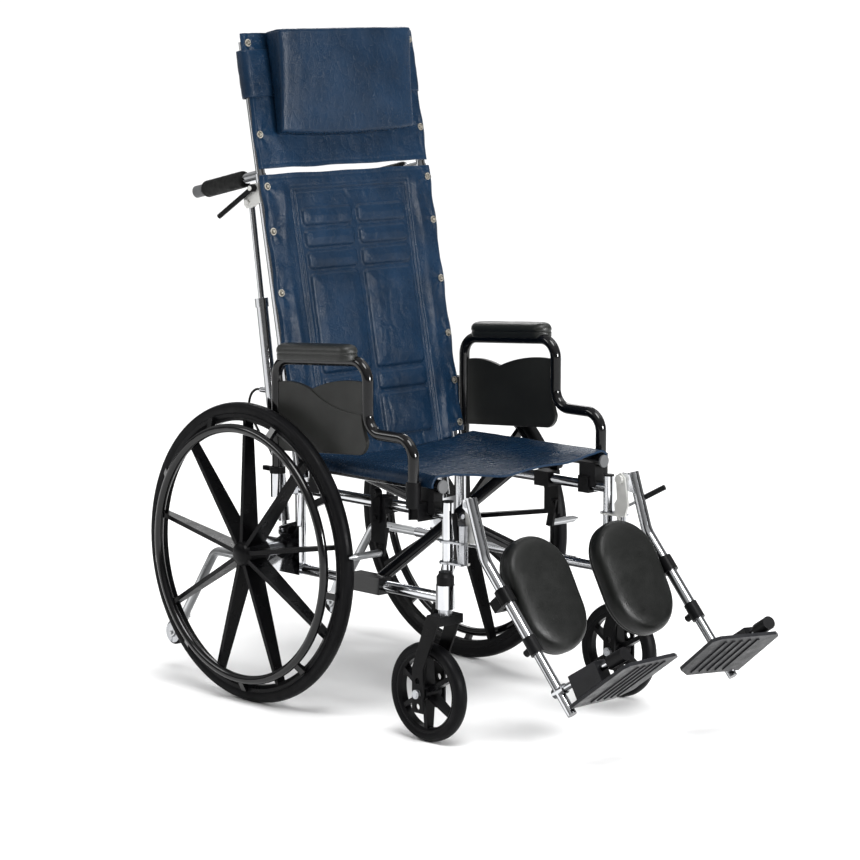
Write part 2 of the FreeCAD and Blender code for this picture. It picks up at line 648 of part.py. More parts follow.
def crossbrace(tube_y, bolt):
    """Brace from the right lower tube to the left seat rail, with its bearing and rail."""
    low = vec(-FRAME_X, tube_y, LOWER_Z)
    high = vec(FRAME_X, tube_y, RAIL_Z)
    along = (high - low).normalize()
    brace = rod(low, high, BRACE_R)
    bearing = block((-FRAME_X - BEARING_HALF, -FRAME_X + BEARING_HALF), (BEARING_FRONT_Y, BEARING_REAR_Y),
                    (LOWER_Z - BEARING_HALF, LOWER_Z + BEARING_HALF))
    rail = rod(vec(FRAME_X, RAIL_FRONT_Y, RAIL_Z), vec(FRAME_X, RAIL_REAR_Y, RAIL_Z), RAIL_R)
    hollow = rod(low + along * (BEARING_HALF + 6), high - along * (RAIL_R + 4), BRACE_R - TUBE_WALL)
    rail_hollow = rod(vec(FRAME_X, RAIL_FRONT_Y, RAIL_Z), vec(FRAME_X, RAIL_REAR_Y, RAIL_Z),
                      RAIL_R - TUBE_WALL)
    lower_tube = rod(vec(-FRAME_X, BEARING_FRONT_Y, LOWER_Z), vec(-FRAME_X, BEARING_REAR_Y, LOWER_Z),
                     TUBE_R + RUNNING)
    brace = brace.cut([hollow, bearing, rail])
    middle = (low + high) * 0.5
    reach = abs(BRACE_A_Y - BRACE_B_Y) / 2 + BRACE_R + 6
    centre_y = (BRACE_A_Y + BRACE_B_Y) / 2
    ends = (vec(0, centre_y - reach, middle.z), vec(0, centre_y + reach, middle.z))
    if bolt:
        brace = brace.cut(rod(ends[0], ends[1], CENTRE_BOLT_R)).fuse(rod(ends[0], ends[1], CENTRE_BOLT_R))
    else:
        brace = brace.cut(rod(ends[0], ends[1], CENTRE_BOLT_R + RUNNING))
    caps = []
    for end, side in ((RAIL_FRONT_Y, -1), (RAIL_REAR_Y, 1)):
        outside = rod(vec(FRAME_X, end, RAIL_Z), vec(FRAME_X, end + side * RAIL_CAP, RAIL_Z), RAIL_R)
        plug = rod(vec(FRAME_X, end - side * 12, RAIL_Z), vec(FRAME_X, end, RAIL_Z), RAIL_R - TUBE_WALL)
        caps.append(join(outside, plug))
    return group(brace, bearing.cut(lower_tube), rail.cut(rail_hollow), *caps)


def seat_sling():
    """Sheet that sags between the seat rails and wraps round their outer sides."""
    low = RAIL_R + CLEAR
    high = low + SEAT_THICK
    top = [vec(-FRAME_X, 0, RAIL_Z + high), vec(0, 0, RAIL_Z + high - SEAT_SAG),
           vec(FRAME_X, 0, RAIL_Z + high)]
    bottom = [vec(FRAME_X, 0, RAIL_Z + low), vec(0, 0, RAIL_Z + low - SEAT_SAG),
              vec(-FRAME_X, 0, RAIL_Z + low)]
    profile = closed_wire([top[0], top[2], bottom[0], bottom[2]], [top[1], None, bottom[1], None])
    length = SEAT_REAR_Y - SEAT_FRONT_Y
    sheet = Part.Face(profile).extrude(vec(0, length, 0))
    hooks = []
    for side in (-1, 1):
        start = vec(side * FRAME_X, 0, RAIL_Z)
        ring = sleeve(start, start + vec(0, length, 0), high, low)
        outside = block((side * FRAME_X, side * (FRAME_X + high + 1)), (-1, length + 1),
                        (RAIL_Z, RAIL_Z + high + 1))
        hooks.append(ring.common(outside))
    return join(sheet, *hooks).translated(vec(0, SEAT_FRONT_Y, 0))


# Armrests

def armrest_tube():
    route = [(ARM_REAR_Y, ARM_REAR_LOW), (ARM_REAR_Y, ARM_TOP_REAR_Z), (ARM_BEND_Y, ARM_TOP_FRONT_Z),
             (ARM_BEND_Y, ARM_STEP_Z), (ARM_FRONT_Y, ARM_STEP_Z), (ARM_FRONT_Y, ARM_FRONT_LOW)]
    return bent_tube([vec(ARM_X, y, z) for y, z in route], ARM_BEND, ARM_R, ARM_WALL)


def armrest_pad():
    """Pad with round ends that straddles the top run of the tube: upright sides, crowned top."""
    half = ARM_PAD_LENGTH / 2
    sections = []
    for share, inset in ((0.0, 1.5), (0.25, 0.0), (0.55, 0.0), (0.85, 5.0), (1.0, 14.0)):
        sections.append(obround(half - inset, ARM_PAD_HALF - inset, ARM_PAD_HEIGHT * share))
    pad = Part.makeLoft(sections, True, False)
    slope = (ARM_TOP_FRONT_Z - ARM_TOP_REAR_Z) / (ARM_REAR_Y - ARM_BEND_Y)
    height = ARM_TOP_REAR_Z + slope * (ARM_REAR_Y - ARM_PAD_Y) + ARM_PAD_SEAT
    pad = pad.rotated(ORIGIN, X_AXIS, -math.degrees(math.atan(slope)))
    pad = pad.translated(vec(ARM_PAD_X, ARM_PAD_Y, height))
    reach = ARM_PAD_LENGTH
    top_run = rod(vec(ARM_X, ARM_REAR_Y + reach, ARM_TOP_REAR_Z - slope * reach),
                  vec(ARM_X, ARM_BEND_Y - reach, ARM_TOP_FRONT_Z + slope * reach), ARM_R + CLEAR)
    return pad.cut(top_run)


def skirt_guard():
    """Moulded side panel with a wavy top edge and a raised lower field."""
    rear = ARM_REAR_Y - ARM_R - CLEAR
    front = ARM_BEND_Y + ARM_R + CLEAR
    top = ARM_TOP_REAR_Z - 44
    low = GUARD_LOW_Z
    dip = [(rear - 95, top - 6), (rear - 160, top + 15)]
    nose = [(front - 5, low + 68), (front - 13, low + 46), (front + 8, low + 17)]
    x_low = ARM_X - GUARD_THICK / 2

    def at(point):
        return vec(x_low, point[0], point[1])

    corners = [at((rear, low)), at((rear, top)), at(dip[0]), at((front, top + 22)), at((front, low + 88)),
               at(nose[1]), at(nose[2])]
    middles = [None, at((rear - 50, top + 3)), at(dip[1]), None, at(nose[0]), at((front - 6, low + 26)),
               None]
    panel = Part.Face(closed_wire(corners, middles)).extrude(vec(GUARD_THICK, 0, 0))

    field_corners = [at((rear, low)), at((rear, top)), at(dip[0]), at((front, low + 98)),
                     at((front, low + 88)),
                     at(nose[1]), at(nose[2])]
    field_middles = [None, middles[1], at((rear - 172, top - 36)), None, middles[4], middles[5], None]
    field = Part.Face(closed_wire(field_corners, field_middles)).extrude(vec(GUARD_THICK + GUARD_RELIEF,
                                                                             0, 0))
    return join(panel, field)


# Reclining back, modelled upright about the cane pivot and then leaned

def leaned(shape):
    """Moves an upright back piece to its place behind the seat."""
    return shape.rotated(ORIGIN, X_AXIS, -LEAN).translated(vec(0, RECLINE_Y, RECLINE_Z))


def on_back(x, back, up):
    """Point of the upright back, in the chair."""
    lean = math.radians(LEAN)
    y = RECLINE_Y + back * math.cos(lean) + up * math.sin(lean)
    z = RECLINE_Z - back * math.sin(lean) + up * math.cos(lean)
    return vec(x, y, z)


def handle_point(distance):
    """Point on the push handle's axis from the cane."""
    drop = math.radians(HANDLE_DROP)
    return vec(CANE_X, distance * math.cos(drop), HANDLE_HEIGHT - distance * math.sin(drop))


def sling_screw(up, tube_r):
    """Screw with a cup washer through the sling into the cane or head post."""
    front = -(tube_r + CLEAR + SLING_THICK)
    shank = rod(vec(CANE_X, -tube_r + 0.8, up), vec(CANE_X, front, up), SCREW_R)
    washer = rod(vec(CANE_X, front, up), vec(CANE_X, front - 1.5, up), SCREW_HEAD_R)
    head = Part.makeCone(SCREW_HEAD_R - 2, 2.5, SCREW_HEAD - 1.5, vec(CANE_X, front - 1.5, up),
                         vec(0, -1, 0))
    return join(shank, washer, head)


def back_cane():
    tube = rod(vec(CANE_X, 0, -CANE_FOOT), vec(CANE_X, 0, CANE_TOP), TUBE_R)
    post = rod(vec(CANE_X, 0, CANE_TOP - 5), vec(CANE_X, 0, HEAD_POST_TOP), HEAD_POST_R)
    handle = rod(handle_point(0), handle_point(HANDLE_LENGTH - HANDLE_CAP_LENGTH), HANDLE_R)
    cap = rod(handle_point(HANDLE_LENGTH - HANDLE_CAP_LENGTH), handle_point(HANDLE_LENGTH), HANDLE_CAP_R)
    face = FRAME_X + EYE_HALF + CLEAR
    plate_top = LEVER_UP + 9
    bracket = slab([(-4, ROD_END_UP - 6), (ROD_END_BACK - 10, ROD_END_UP - 12),
                    (ROD_END_BACK + 5, ROD_END_UP - 12),
                    (ROD_END_BACK + 11, ROD_END_UP - 4), (ROD_END_BACK + 9, ROD_END_UP + 10),
                    (20, plate_top),
                    (-4, plate_top)],
                   (face, face + PLATE))
    web = block((CANE_X, face + PLATE), (0, 14), (ROD_END_UP, plate_top))
    tube_hollow = rod(vec(CANE_X, 0, 30), vec(CANE_X, 0, CANE_TOP - 8), TUBE_R - TUBE_WALL)
    post_hollow = rod(vec(CANE_X, 0, CANE_TOP - 20), vec(CANE_X, 0, HEAD_POST_TOP),
                      HEAD_POST_R - HEAD_POST_WALL)
    handle_hollow = rod(handle_point(0), handle_point(HANDLE_LENGTH - 8), HANDLE_R - HANDLE_WALL)
    solid = join(tube, post, handle, cap, bracket, web)
    solid = solid.cut(join(tube_hollow, post_hollow, handle_hollow))
    solid = solid.cut(rod(vec(CANE_X - 20, 0, 0), vec(CANE_X + 20, 0, 0), PIN_R + RUNNING))
    outer = face + PLATE
    pin_end = outer + LEVER_BOSS + 2 * CLEAR
    lever_pin = rod(vec(face, LEVER_BACK, LEVER_UP), vec(pin_end, LEVER_BACK, LEVER_UP), LEVER_PIN_R)
    pin_head = rod(vec(pin_end, LEVER_BACK, LEVER_UP), vec(pin_end + 2, LEVER_BACK, LEVER_UP),
                   LEVER_PIN_R + 2)
    rod_bolt = rod(vec(outer, ROD_END_BACK, ROD_END_UP), vec(outer + 4, ROD_END_BACK, ROD_END_UP), 5.5)
    solid = join(solid, lever_pin, pin_head, rod_bolt)
    screws = [sling_screw(up, TUBE_R) for up in BACK_SCREWS]
    screws += [sling_screw(up, HEAD_POST_R) for up in HEAD_SCREWS]
    return leaned(join(solid, *screws))


def push_grip():
    start = handle_point(GRIP_START)
    end = handle_point(GRIP_START + GRIP_LENGTH)
    return leaned(sleeve(start, end, GRIP_R, HANDLE_R))


def release_lever():
    """Hand lever under the push grip, outside the bracket."""
    near = FRAME_X + EYE_HALF + PLATE + 2 * CLEAR
    far = near + LEVER_BOSS
    middle = (near + far) / 2
    boss = rod(vec(near, LEVER_BACK, LEVER_UP), vec(far, LEVER_BACK, LEVER_UP), 8.0)
    bar = rod(vec(middle, LEVER_BACK, LEVER_UP), vec(middle, LEVER_TIP_BACK, LEVER_TIP_UP), LEVER_R - CLEAR)
    hole = rod(vec(near, LEVER_BACK, LEVER_UP), vec(far, LEVER_BACK, LEVER_UP), LEVER_PIN_R + RUNNING)
    return leaned(join(boss, bar).cut(hole))


def flat_sheet(up_span, tube_r):
    """Sheet stretched across the front of both canes."""
    low = tube_r + CLEAR
    half = CANE_X + SLING_EDGE
    return block((-half, half), (-low - SLING_THICK, -low), up_span)


def screw_holes(heights):
    holes = []
    for side in (-1, 1):
        for up in heights:
            holes.append(rod(vec(side * CANE_X, 0, up), vec(side * CANE_X, -2 * TUBE_R, up),
                             SCREW_R + CLEAR))
    return holes


def stitched_panel(x_span, up_span, base):
    """Padded field of the back: wide at its seam and drawn in to a crowned front."""
    sections = []
    for share, rise in ((0.0, 0.0), (0.35, 0.6), (1.0, 1.0)):
        inset = PAD_DRAW * share
        y = base - PAD_RISE * rise
        x_low = x_span[0] + inset
        x_high = x_span[1] - inset
        low = up_span[0] + inset
        high = up_span[1] - inset
        corners = [vec(x_low, y, low), vec(x_high, y, low), vec(x_high, y, high), vec(x_low, y, high)]
        sections.append(Part.makePolygon(corners + corners[:1]))
    return Part.makeLoft(sections, True, True)


def back_sling():
    front = -(TUBE_R + CLEAR + SLING_THICK)
    panels = []
    for low, high in PANEL_ROWS:
        panels.append(stitched_panel(PANEL_X, (low, high), front + 0.5))
        panels.append(stitched_panel((-PANEL_X[1], -PANEL_X[0]), (low, high), front + 0.5))
    low = TUBE_R + CLEAR
    flap = block((-FLAP_HALF, FLAP_HALF), (-low - SLING_THICK, -low), (FLAP_LOW, BACK_SLING[0] + 1))
    sheet = join(flat_sheet(BACK_SLING, TUBE_R), flap, *panels)
    return leaned(sheet.cut(screw_holes(BACK_SCREWS)))


def head_sling():
    """Sheet across the head posts, drawn in at its edges where the pillow band passes round it."""
    sheet = flat_sheet(HEAD_SLING, HEAD_POST_R)
    span = (BAND[0] - 2, BAND[1] + 2)
    notches = [block((side * (CANE_X + 1), side * (CANE_X + SLING_EDGE + 1)), (-2 * TUBE_R, 0), span)
               for side in (-1, 1)]
    return leaned(sheet.cut(notches).cut(screw_holes(HEAD_SCREWS)))


def pillow_section(up, half, back, depth, crown, drawn):
    """Pillow outline across its width: flat back, drawn-in sides and crowned front."""
    front = back - depth
    corners = [vec(-half + drawn, back, up), vec(half - drawn, back, up), vec(half, front + crown, up),
               vec(-half, front + crown, up)]
    middle = (back + front + crown) / 2
    middles = [None, vec(half - drawn * 0.2, middle, up), vec(0, front, up),
               vec(-half + drawn * 0.2, middle, up)]
    return closed_wire(corners, middles)


def head_pillow():
    """Wedge pillow, thicker at its top, held by a wide band round the head sling."""
    back = -(HEAD_POST_R + 2 * CLEAR + SLING_THICK)
    height = PILLOW_HIGH - PILLOW_LOW
    stations = ((0.0, PILLOW_EDGE, 0.55), (0.06, 2.0, 1.0), (0.5, 0.0, 1.06), (0.94, 2.0, 1.0),
                (1.0, PILLOW_EDGE, 0.7))
    sections = []
    for share, inset, full in stations:
        depth = (PILLOW_THIN + (PILLOW_DEEP - PILLOW_THIN) * share) * full
        crown = min(PILLOW_CROWN, depth * 0.3)
        sections.append(pillow_section(PILLOW_LOW + height * share, PILLOW_HALF - inset, back, depth,
                                       crown, 3.0))
    pillow = Part.makeLoft(sections, True, False)
    outer = BAND_THICK - back
    faces = [block((-CANE_X, CANE_X), (side * outer, -side * back), BAND) for side in (-1, 1)]
    ends = []
    for side in (-1, 1):
        ring = sleeve(vec(side * CANE_X, 0, BAND[0]), vec(side * CANE_X, 0, BAND[1]), outer, -back)
        ends.append(ring.common(block((side * CANE_X, side * (CANE_X + outer + 1)),
                                      (-outer - 1, outer + 1), BAND)))
    return leaned(join(pillow, *faces, *ends))


# Recline cylinders, along the line from the frame pin to the rod end pin

def cylinder_line():
    start = vec(FRAME_X, CYLINDER_Y, CYLINDER_Z)
    end = on_back(FRAME_X, ROD_END_BACK, ROD_END_UP)
    return start, end, (end - start).normalize()


def recline_cylinder():
    start, end, along = cylinder_line()
    top = start + along * CYLINDER_LENGTH
    body = rod(start + along * CYLINDER_START, top, CYLINDER_R)
    gland = rod(top - along * CYLINDER_GLAND, top, CYLINDER_GLAND_R)
    neck = rod(start, start + along * (CYLINDER_START + 4), EYE_HALF - 1)
    eye = rod(start - X_AXIS * EYE_HALF, start + X_AXIS * EYE_HALF, EYE_R)
    valve_start = start + along * VALVE_AT
    valve = rod(valve_start, valve_start + vec(0, VALVE_REACH, 0), VALVE_R)
    bore = rod(top - along * CYLINDER_BORE, top, PISTON_ROD_R + RUNNING)
    pin = rod(start - X_AXIS * EYE_HALF, start + X_AXIS * EYE_HALF, PIN_R + RUNNING)
    return join(body, gland, neck, eye, valve).cut(bore).cut(pin)


def recline_rod():
    start, end, along = cylinder_line()
    foot = start + along * (CYLINDER_LENGTH - ROD_INSIDE)
    eye = rod(end - X_AXIS * EYE_HALF, end + X_AXIS * EYE_HALF, EYE_R)
    return join(rod(foot, end, PISTON_ROD_R), eye)


def release_cable():
    """Cable loop from the valve back to the lower part of the cylinder."""
    start, end, along = cylinder_line()
    valve = start + along * VALVE_AT + vec(0, VALVE_REACH, 0)
    clip = start + along * (VALVE_AT - 118) + vec(0, CYLINDER_R / math.cos(math.asin(along.y)) + HOSE_R, 0)
    loop = [valve, valve + vec(0, 16, 0), valve + vec(4, 30, -14), valve + vec(6, 34, -42),
            clip + vec(5, 26, 14), clip + vec(2, 8, 0), clip + vec(0, 0, -14)]
    return swept(loop, 6.0, HOSE_R)


# Anti-tippers

def anti_tipper():
    end = vec(FRAME_X, TIPPER_END_Y, TIPPER_END_Z)
    tube = swept([vec(FRAME_X, 0, LOWER_Z), vec(FRAME_X, TIPPER_BEND_Y, LOWER_Z), end], TIPPER_BEND,
                 TIPPER_R)
    ears = []
    outline = [(TIPPER_END_Y - 12, TIPPER_END_Z + 16), (TIPPER_END_Y + 8, TIPPER_END_Z + 20),
               (TIP_WHEEL_Y + 9, TIP_WHEEL_Z + 4), (TIP_WHEEL_Y, TIP_WHEEL_Z - 10),
               (TIP_WHEEL_Y - 10, TIP_WHEEL_Z - 3)]
    for side in (-1, 1):
        near = FRAME_X + side * (TIP_WHEEL_HALF + CLEAR)
        ears.append(slab(outline, (near, near + side * 4)))
    bridge = block((FRAME_X - TIP_WHEEL_HALF - 4, FRAME_X + TIP_WHEEL_HALF + 4),
                   (TIPPER_END_Y - 10, TIPPER_END_Y + 4), (TIPPER_END_Z + 2, TIPPER_END_Z + 18))
    pin = rod(vec(FRAME_X - TIP_WHEEL_HALF - 8, TIP_WHEEL_Y, TIP_WHEEL_Z),
              vec(FRAME_X + TIP_WHEEL_HALF + 8, TIP_WHEEL_Y, TIP_WHEEL_Z), TIP_PIN_R)
    clearance = rod(vec(FRAME_X - TIP_WHEEL_HALF - CLEAR, TIP_WHEEL_Y, TIP_WHEEL_Z),
                    vec(FRAME_X + TIP_WHEEL_HALF + CLEAR, TIP_WHEEL_Y, TIP_WHEEL_Z), TIP_WHEEL_R + 2)
    return join(join(tube, bridge, *ears).cut(clearance), pin)


def anti_tip_wheel():
    bore = TIP_PIN_R + RUNNING
    half = TIP_WHEEL_HALF
    return spun([(-half, bore), (-half, TIP_WHEEL_R - 4), (-half + 4, TIP_WHEEL_R), (half - 4, TIP_WHEEL_R),
                 (half, TIP_WHEEL_R - 4), (half, bore)])


# Legrests

def leg_point(x, along, above):
    """Point on the lower leg tube: along it from the bend, and square to it towards the front."""
    tilt = math.radians(LEG_TILT)
    y = LEG_BEND_Y - along * math.sin(tilt) - above * math.cos(tilt)
    z = LEG_BEND_Z - along * math.cos(tilt) + above * math.sin(tilt)
    return vec(x, y, z)


def leg_hanger(lever_base, lever_tip):
    """Swing-away bracket: two hinge rings on the front post, an upright and a quadrant plate."""
    upright = rod(vec(HANGER_X, HANGER_Y, HANGER_LOW), vec(HANGER_X, HANGER_Y, HANGER_HIGH), HANGER_R)
    pieces = []
    holes = []
    for height in HINGE_Z:
        centre = vec(FRAME_X, POST_FRONT_Y, height)
        pieces.append(rod(centre - Z_AXIS * 2, centre + Z_AXIS * 2, HINGE_RING_R))
        pieces.append(block((HANGER_X - 11, HANGER_X + 13), (HANGER_Y - 8, POST_FRONT_Y),
                            (height - 2, height + 2)))
        holes.append(rod(centre - Z_AXIS * 3, centre + Z_AXIS * 3, TUBE_R + RUNNING))
    face = HANGER_X - HANGER_R + 1.5
    quadrant = slab([(HANGER_Y + 6, HANGER_HIGH - 34), (HANGER_Y + 8, HANGER_HIGH - 10),
                     (HANGER_Y + 1, HANGER_HIGH),
                     (LEG_PIVOT_Y + 12, LEG_PIVOT_Z + 6), (LEG_PIVOT_Y, LEG_PIVOT_Z + 13),
                     (LEG_PIVOT_Y - 12, LEG_PIVOT_Z + 5), (HANGER_Y - 28, HANGER_HIGH - 10),
                     (HANGER_Y - 20, HANGER_HIGH - 34)], (face - PLATE, face))
    ear_out = face + CLEAR + PLATE
    pin = rod(vec(face - PLATE - 6, LEG_PIVOT_Y, LEG_PIVOT_Z),
              vec(ear_out + 4, LEG_PIVOT_Y, LEG_PIVOT_Z), PIN_R)
    head = rod(vec(face - PLATE - 6, LEG_PIVOT_Y, LEG_PIVOT_Z),
               vec(face - PLATE, LEG_PIVOT_Y, LEG_PIVOT_Z), 9.0)
    rivet = rod(vec(ear_out + CLEAR, LEG_PIVOT_Y, LEG_PIVOT_Z),
                vec(ear_out + 4, LEG_PIVOT_Y, LEG_PIVOT_Z), 6.0)
    grip_start = lever_base + (lever_tip - lever_base) * 0.45
    lever = join(rod(lever_base, lever_tip, 3.0), rod(grip_start, lever_tip, 5.5))
    return join(join(upright, quadrant, *pieces).cut(holes), pin, head, rivet, lever)


def leg_tube():
    """Bent leg tube with its pivot ear and the clamp collar of the foot tube."""
    top = vec(LEG_X, LEG_TOP_Y, LEG_TOP_Z)
    bend = vec(LEG_X, LEG_BEND_Y, LEG_BEND_Z)
    end = leg_point(LEG_X, LEG_LOWER, 0)
    tube = swept([top, bend, end], LEG_BEND, LEG_R)
    hollow = swept([top, bend, end], LEG_BEND, LEG_R - LEG_WALL)
    ear_in = HANGER_X - HANGER_R + 1.5 + CLEAR
    ear = slab([(LEG_PIVOT_Y + 11, LEG_PIVOT_Z - 8), (LEG_PIVOT_Y + 11, LEG_PIVOT_Z + 8),
                (LEG_PIVOT_Y, LEG_PIVOT_Z + 13),
                (LEG_TOP_Y - 2, LEG_TOP_Z - 4), (LEG_TOP_Y - 16, LEG_TOP_Z - 40),
                (LEG_PIVOT_Y - 10, LEG_PIVOT_Z - 22)],
               (ear_in, ear_in + PLATE))
    collar = rod(leg_point(LEG_X, LEG_LOWER - LEG_COLLAR, 0), leg_point(LEG_X, LEG_LOWER + 2, 0),
                 LEG_COLLAR_R)
    knob = rod(leg_point(LEG_X, LEG_LOWER - 14, 0), leg_point(LEG_X, LEG_LOWER - 14, -26), 7.0)
    bore = rod(leg_point(LEG_X, FOOT_START - 20, 0), leg_point(LEG_X, LEG_LOWER + 3, 0), FOOT_R + RUNNING)
    pin = rod(vec(ear_in - 1, LEG_PIVOT_Y, LEG_PIVOT_Z), vec(ear_in + PLATE + 1, LEG_PIVOT_Y, LEG_PIVOT_Z),
              PIN_R + RUNNING)
    return join(tube, ear, collar, knob).cut([hollow, bore, pin])


def foot_axis():
    """Origin and direction of the footplate's hinge pin, and its upward normal."""
    tilt = math.radians(FOOT_TILT)
    origin = leg_point(LEG_X, FOOT_HINGE_AT, 0)
    return origin, vec(0, -math.cos(tilt), math.sin(tilt)), vec(0, math.sin(tilt), math.cos(tilt))


def foot_tube():
    """Sliding foot tube with the footplate's hinge pin and its rubber bumper."""
    origin, ahead, upward = foot_axis()
    start = leg_point(LEG_X, FOOT_START, 0)
    end = leg_point(LEG_X, FOOT_END, 0)
    tube = rod(start, end, FOOT_R)
    hollow = rod(start, end - (end - start).normalize() * 6, FOOT_R - FOOT_WALL)
    boss = rod(origin - ahead * 12, origin + ahead * 18, FOOT_PIN_R + 3)
    pin = rod(origin, origin + ahead * FOOT_PIN_END, FOOT_PIN_R)
    bumper = rod(origin + ahead * FOOT_PIN_END, origin + ahead * (FOOT_PIN_END + BUMPER_LENGTH), BUMPER_R)
    return join(join(tube, boss).cut(hollow), pin, bumper)


def footplate():
    """Ribbed plate with a hinge block, modelled about its pin and then tilted."""
    corner = PLATE_CORNER
    outline = [vec(PLATE_OUT, 0, 0), vec(-PLATE_IN + corner, 0, 0), vec(-PLATE_IN, -corner, 0),
               vec(-PLATE_IN, -PLATE_LENGTH + corner / 3, 0), vec(-PLATE_IN + corner / 2, -PLATE_LENGTH, 0),
               vec(PLATE_OUT - corner / 3, -PLATE_LENGTH, 0), vec(PLATE_OUT, -PLATE_LENGTH + corner / 3, 0)]
    pieces = [Part.Face(Part.makePolygon(outline + outline[:1])).extrude(vec(0, 0, PLATE_THICK))]
    step = (PLATE_IN - 2 * corner) / (RIB_COUNT - 1)
    for index in range(RIB_COUNT):
        x = -PLATE_IN + corner + index * step
        pieces.append(block((x, x + RIB_WIDTH), (-corner / 2, -PLATE_LENGTH + corner / 2),
                            (-RIB_HEIGHT, PLATE_THICK + RIB_HEIGHT)))
    plate = join(pieces[0], *pieces[1:]).rotated(ORIGIN, X_AXIS, -PLATE_PITCH)
    plate = plate.translated(vec(0, -PLATE_HEEL, -PLATE_DROP))
    near = FOOT_BLOCK_AT
    far = near + FOOT_BLOCK
    slope = math.tan(math.radians(PLATE_PITCH))
    seat = [-PLATE_DROP + PLATE_THICK / 2 + slope * (along - PLATE_HEEL) for along in (near, far)]
    body = slab([(-near, seat[0]), (-far, seat[1]), (-far, FOOT_BLOCK_HALF), (-near, FOOT_BLOCK_HALF)],
                (-FOOT_BLOCK_HALF, FOOT_BLOCK_HALF))
    hole = rod(vec(0, -near + 1, 0), vec(0, -far - 1, 0), FOOT_PIN_R + RUNNING)
    origin = foot_axis()[0]
    return join(plate, body).cut(hole).rotated(ORIGIN, X_AXIS, -FOOT_TILT).translated(origin)


def calf_frame(shape):
    """Moves a pad modelled flat, front face up and long side on Y, to its place."""
    return shape.rotated(ORIGIN, X_AXIS, 90 - CALF_TILT).translated(vec(CALF_X, CALF_Y, CALF_Z))


def calf_pad():
    """Oval pad: flat back, drawn-in rim and a crowned front."""
    half = CALF_LENGTH / 2
    radius = CALF_WIDTH / 2
    sections = []
    for share, inset in ((0.0, 5.0), (0.2, 0.0), (0.62, 0.0), (0.86, 7.0), (1.0, 24.0)):
        z = CALF_THICK * (share - 0.5)
        sections.append(obround(half - inset, radius - inset, z))
    return calf_frame(Part.makeLoft(sections, True, False))


def calf_bracket():
    """Clamp on the leg tube with a flat arm and a stud behind the pad."""
    clamp_low = leg_point(LEG_X, CALF_CLAMP_AT - CALF_CLAMP / 2, 0)
    clamp_high = leg_point(LEG_X, CALF_CLAMP_AT + CALF_CLAMP / 2, 0)
    clamp = rod(clamp_low, clamp_high, CALF_CLAMP_R)
    bore = rod(clamp_low, clamp_high, LEG_R + RUNNING)

    def bar(x_span, low, high):
        points = [leg_point(x_span[0], CALF_CLAMP_AT + side * CALF_ARM_HALF, above)
                  for side, above in ((-1, low), (1, low), (1, high), (-1, high))]
        face = Part.Face(Part.makePolygon(points + points[:1]))
        return face.extrude(vec(x_span[1] - x_span[0], 0, 0))

    drop = bar((LEG_X - 8, LEG_X + 8), -CALF_ARM_DROP, -LEG_R - 1)
    arm = bar((CALF_X - 14, LEG_X + 8), -CALF_ARM_DROP, -CALF_ARM_DROP + CALF_ARM)
    stud = calf_frame(rod(vec(0, 0, -CALF_THICK / 2 - 22), vec(0, 0, -CALF_THICK / 2), 13.0))
    return join(clamp, drop, arm, stud).cut(bore)


# The whole chair

def side_pieces(left):
    """Every piece of one side, modelled on the left."""
    wheel_at = vec(WHEEL_X, 0, WHEEL_R)
    caster_at = vec(CASTER_X, STEM_Y + TRAIL, CASTER_R)
    turn = FOOT_TURN_LEFT if left else FOOT_TURN_RIGHT
    flip = FOOT_FLIP_LEFT if left else FOOT_FLIP_RIGHT
    foot_at, ahead, upward = foot_axis()
    down = leg_point(LEG_X, 1, 0) - leg_point(LEG_X, 0, 0)
    if left:
        lever = (vec(RELEASE_X, HANGER_Y - 4, HANGER_HIGH - 18),
                 vec(RELEASE_X + RELEASE_REACH / 2, HANGER_Y - 4 - RELEASE_REACH, HANGER_HIGH + 27))
    else:
        lever = (vec(RELEASE_X, HANGER_Y + 2, HANGER_LOW + 5),
                 vec(RELEASE_X, HANGER_Y + 16, HANGER_HIGH + 23))
    return {
        "side_frame": side_frame(),
        "frame_fittings": frame_fittings(),
        "rear_wheel": rear_wheel().translated(wheel_at),
        "rear_tyre": tyre(WHEEL_R, TYRE_HEIGHT, TYRE_WIDTH, TYRE_SHOULDER).translated(wheel_at),
        "handrim": handrim().translated(wheel_at),
        "caster_fork": caster_fork().translated(vec(CASTER_X, STEM_Y, 0)),
        "caster_wheel": caster_wheel().translated(caster_at),
        "caster_tyre": tyre(CASTER_R, CASTER_TYRE_HEIGHT, CASTER_TYRE_WIDTH,
                            TYRE_SHOULDER).translated(caster_at),
        "armrest_tube": armrest_tube(),
        "armrest_pad": armrest_pad(),
        "skirt_guard": skirt_guard(),
        "brake_lever": brake_lever(),
        "brake_shoe": brake_shoe(),
        "back_cane": back_cane(),
        "push_grip": push_grip(),
        "release_lever": release_lever(),
        "recline_cylinder": recline_cylinder(),
        "recline_rod": recline_rod(),
        "release_cable": release_cable(),
        "anti_tipper": anti_tipper(),
        "anti_tip_wheel": anti_tip_wheel().translated(vec(FRAME_X, TIP_WHEEL_Y, TIP_WHEEL_Z)),
        "leg_hanger": leg_hanger(*lever),
        "leg_tube": leg_tube(),
        "foot_tube": foot_tube().rotated(foot_at, down, turn),
        "footplate": footplate().rotated(foot_at, ahead, -flip).rotated(foot_at, down, turn),
        "calf_pad": calf_pad(),
        "calf_bracket": calf_bracket(),
    }


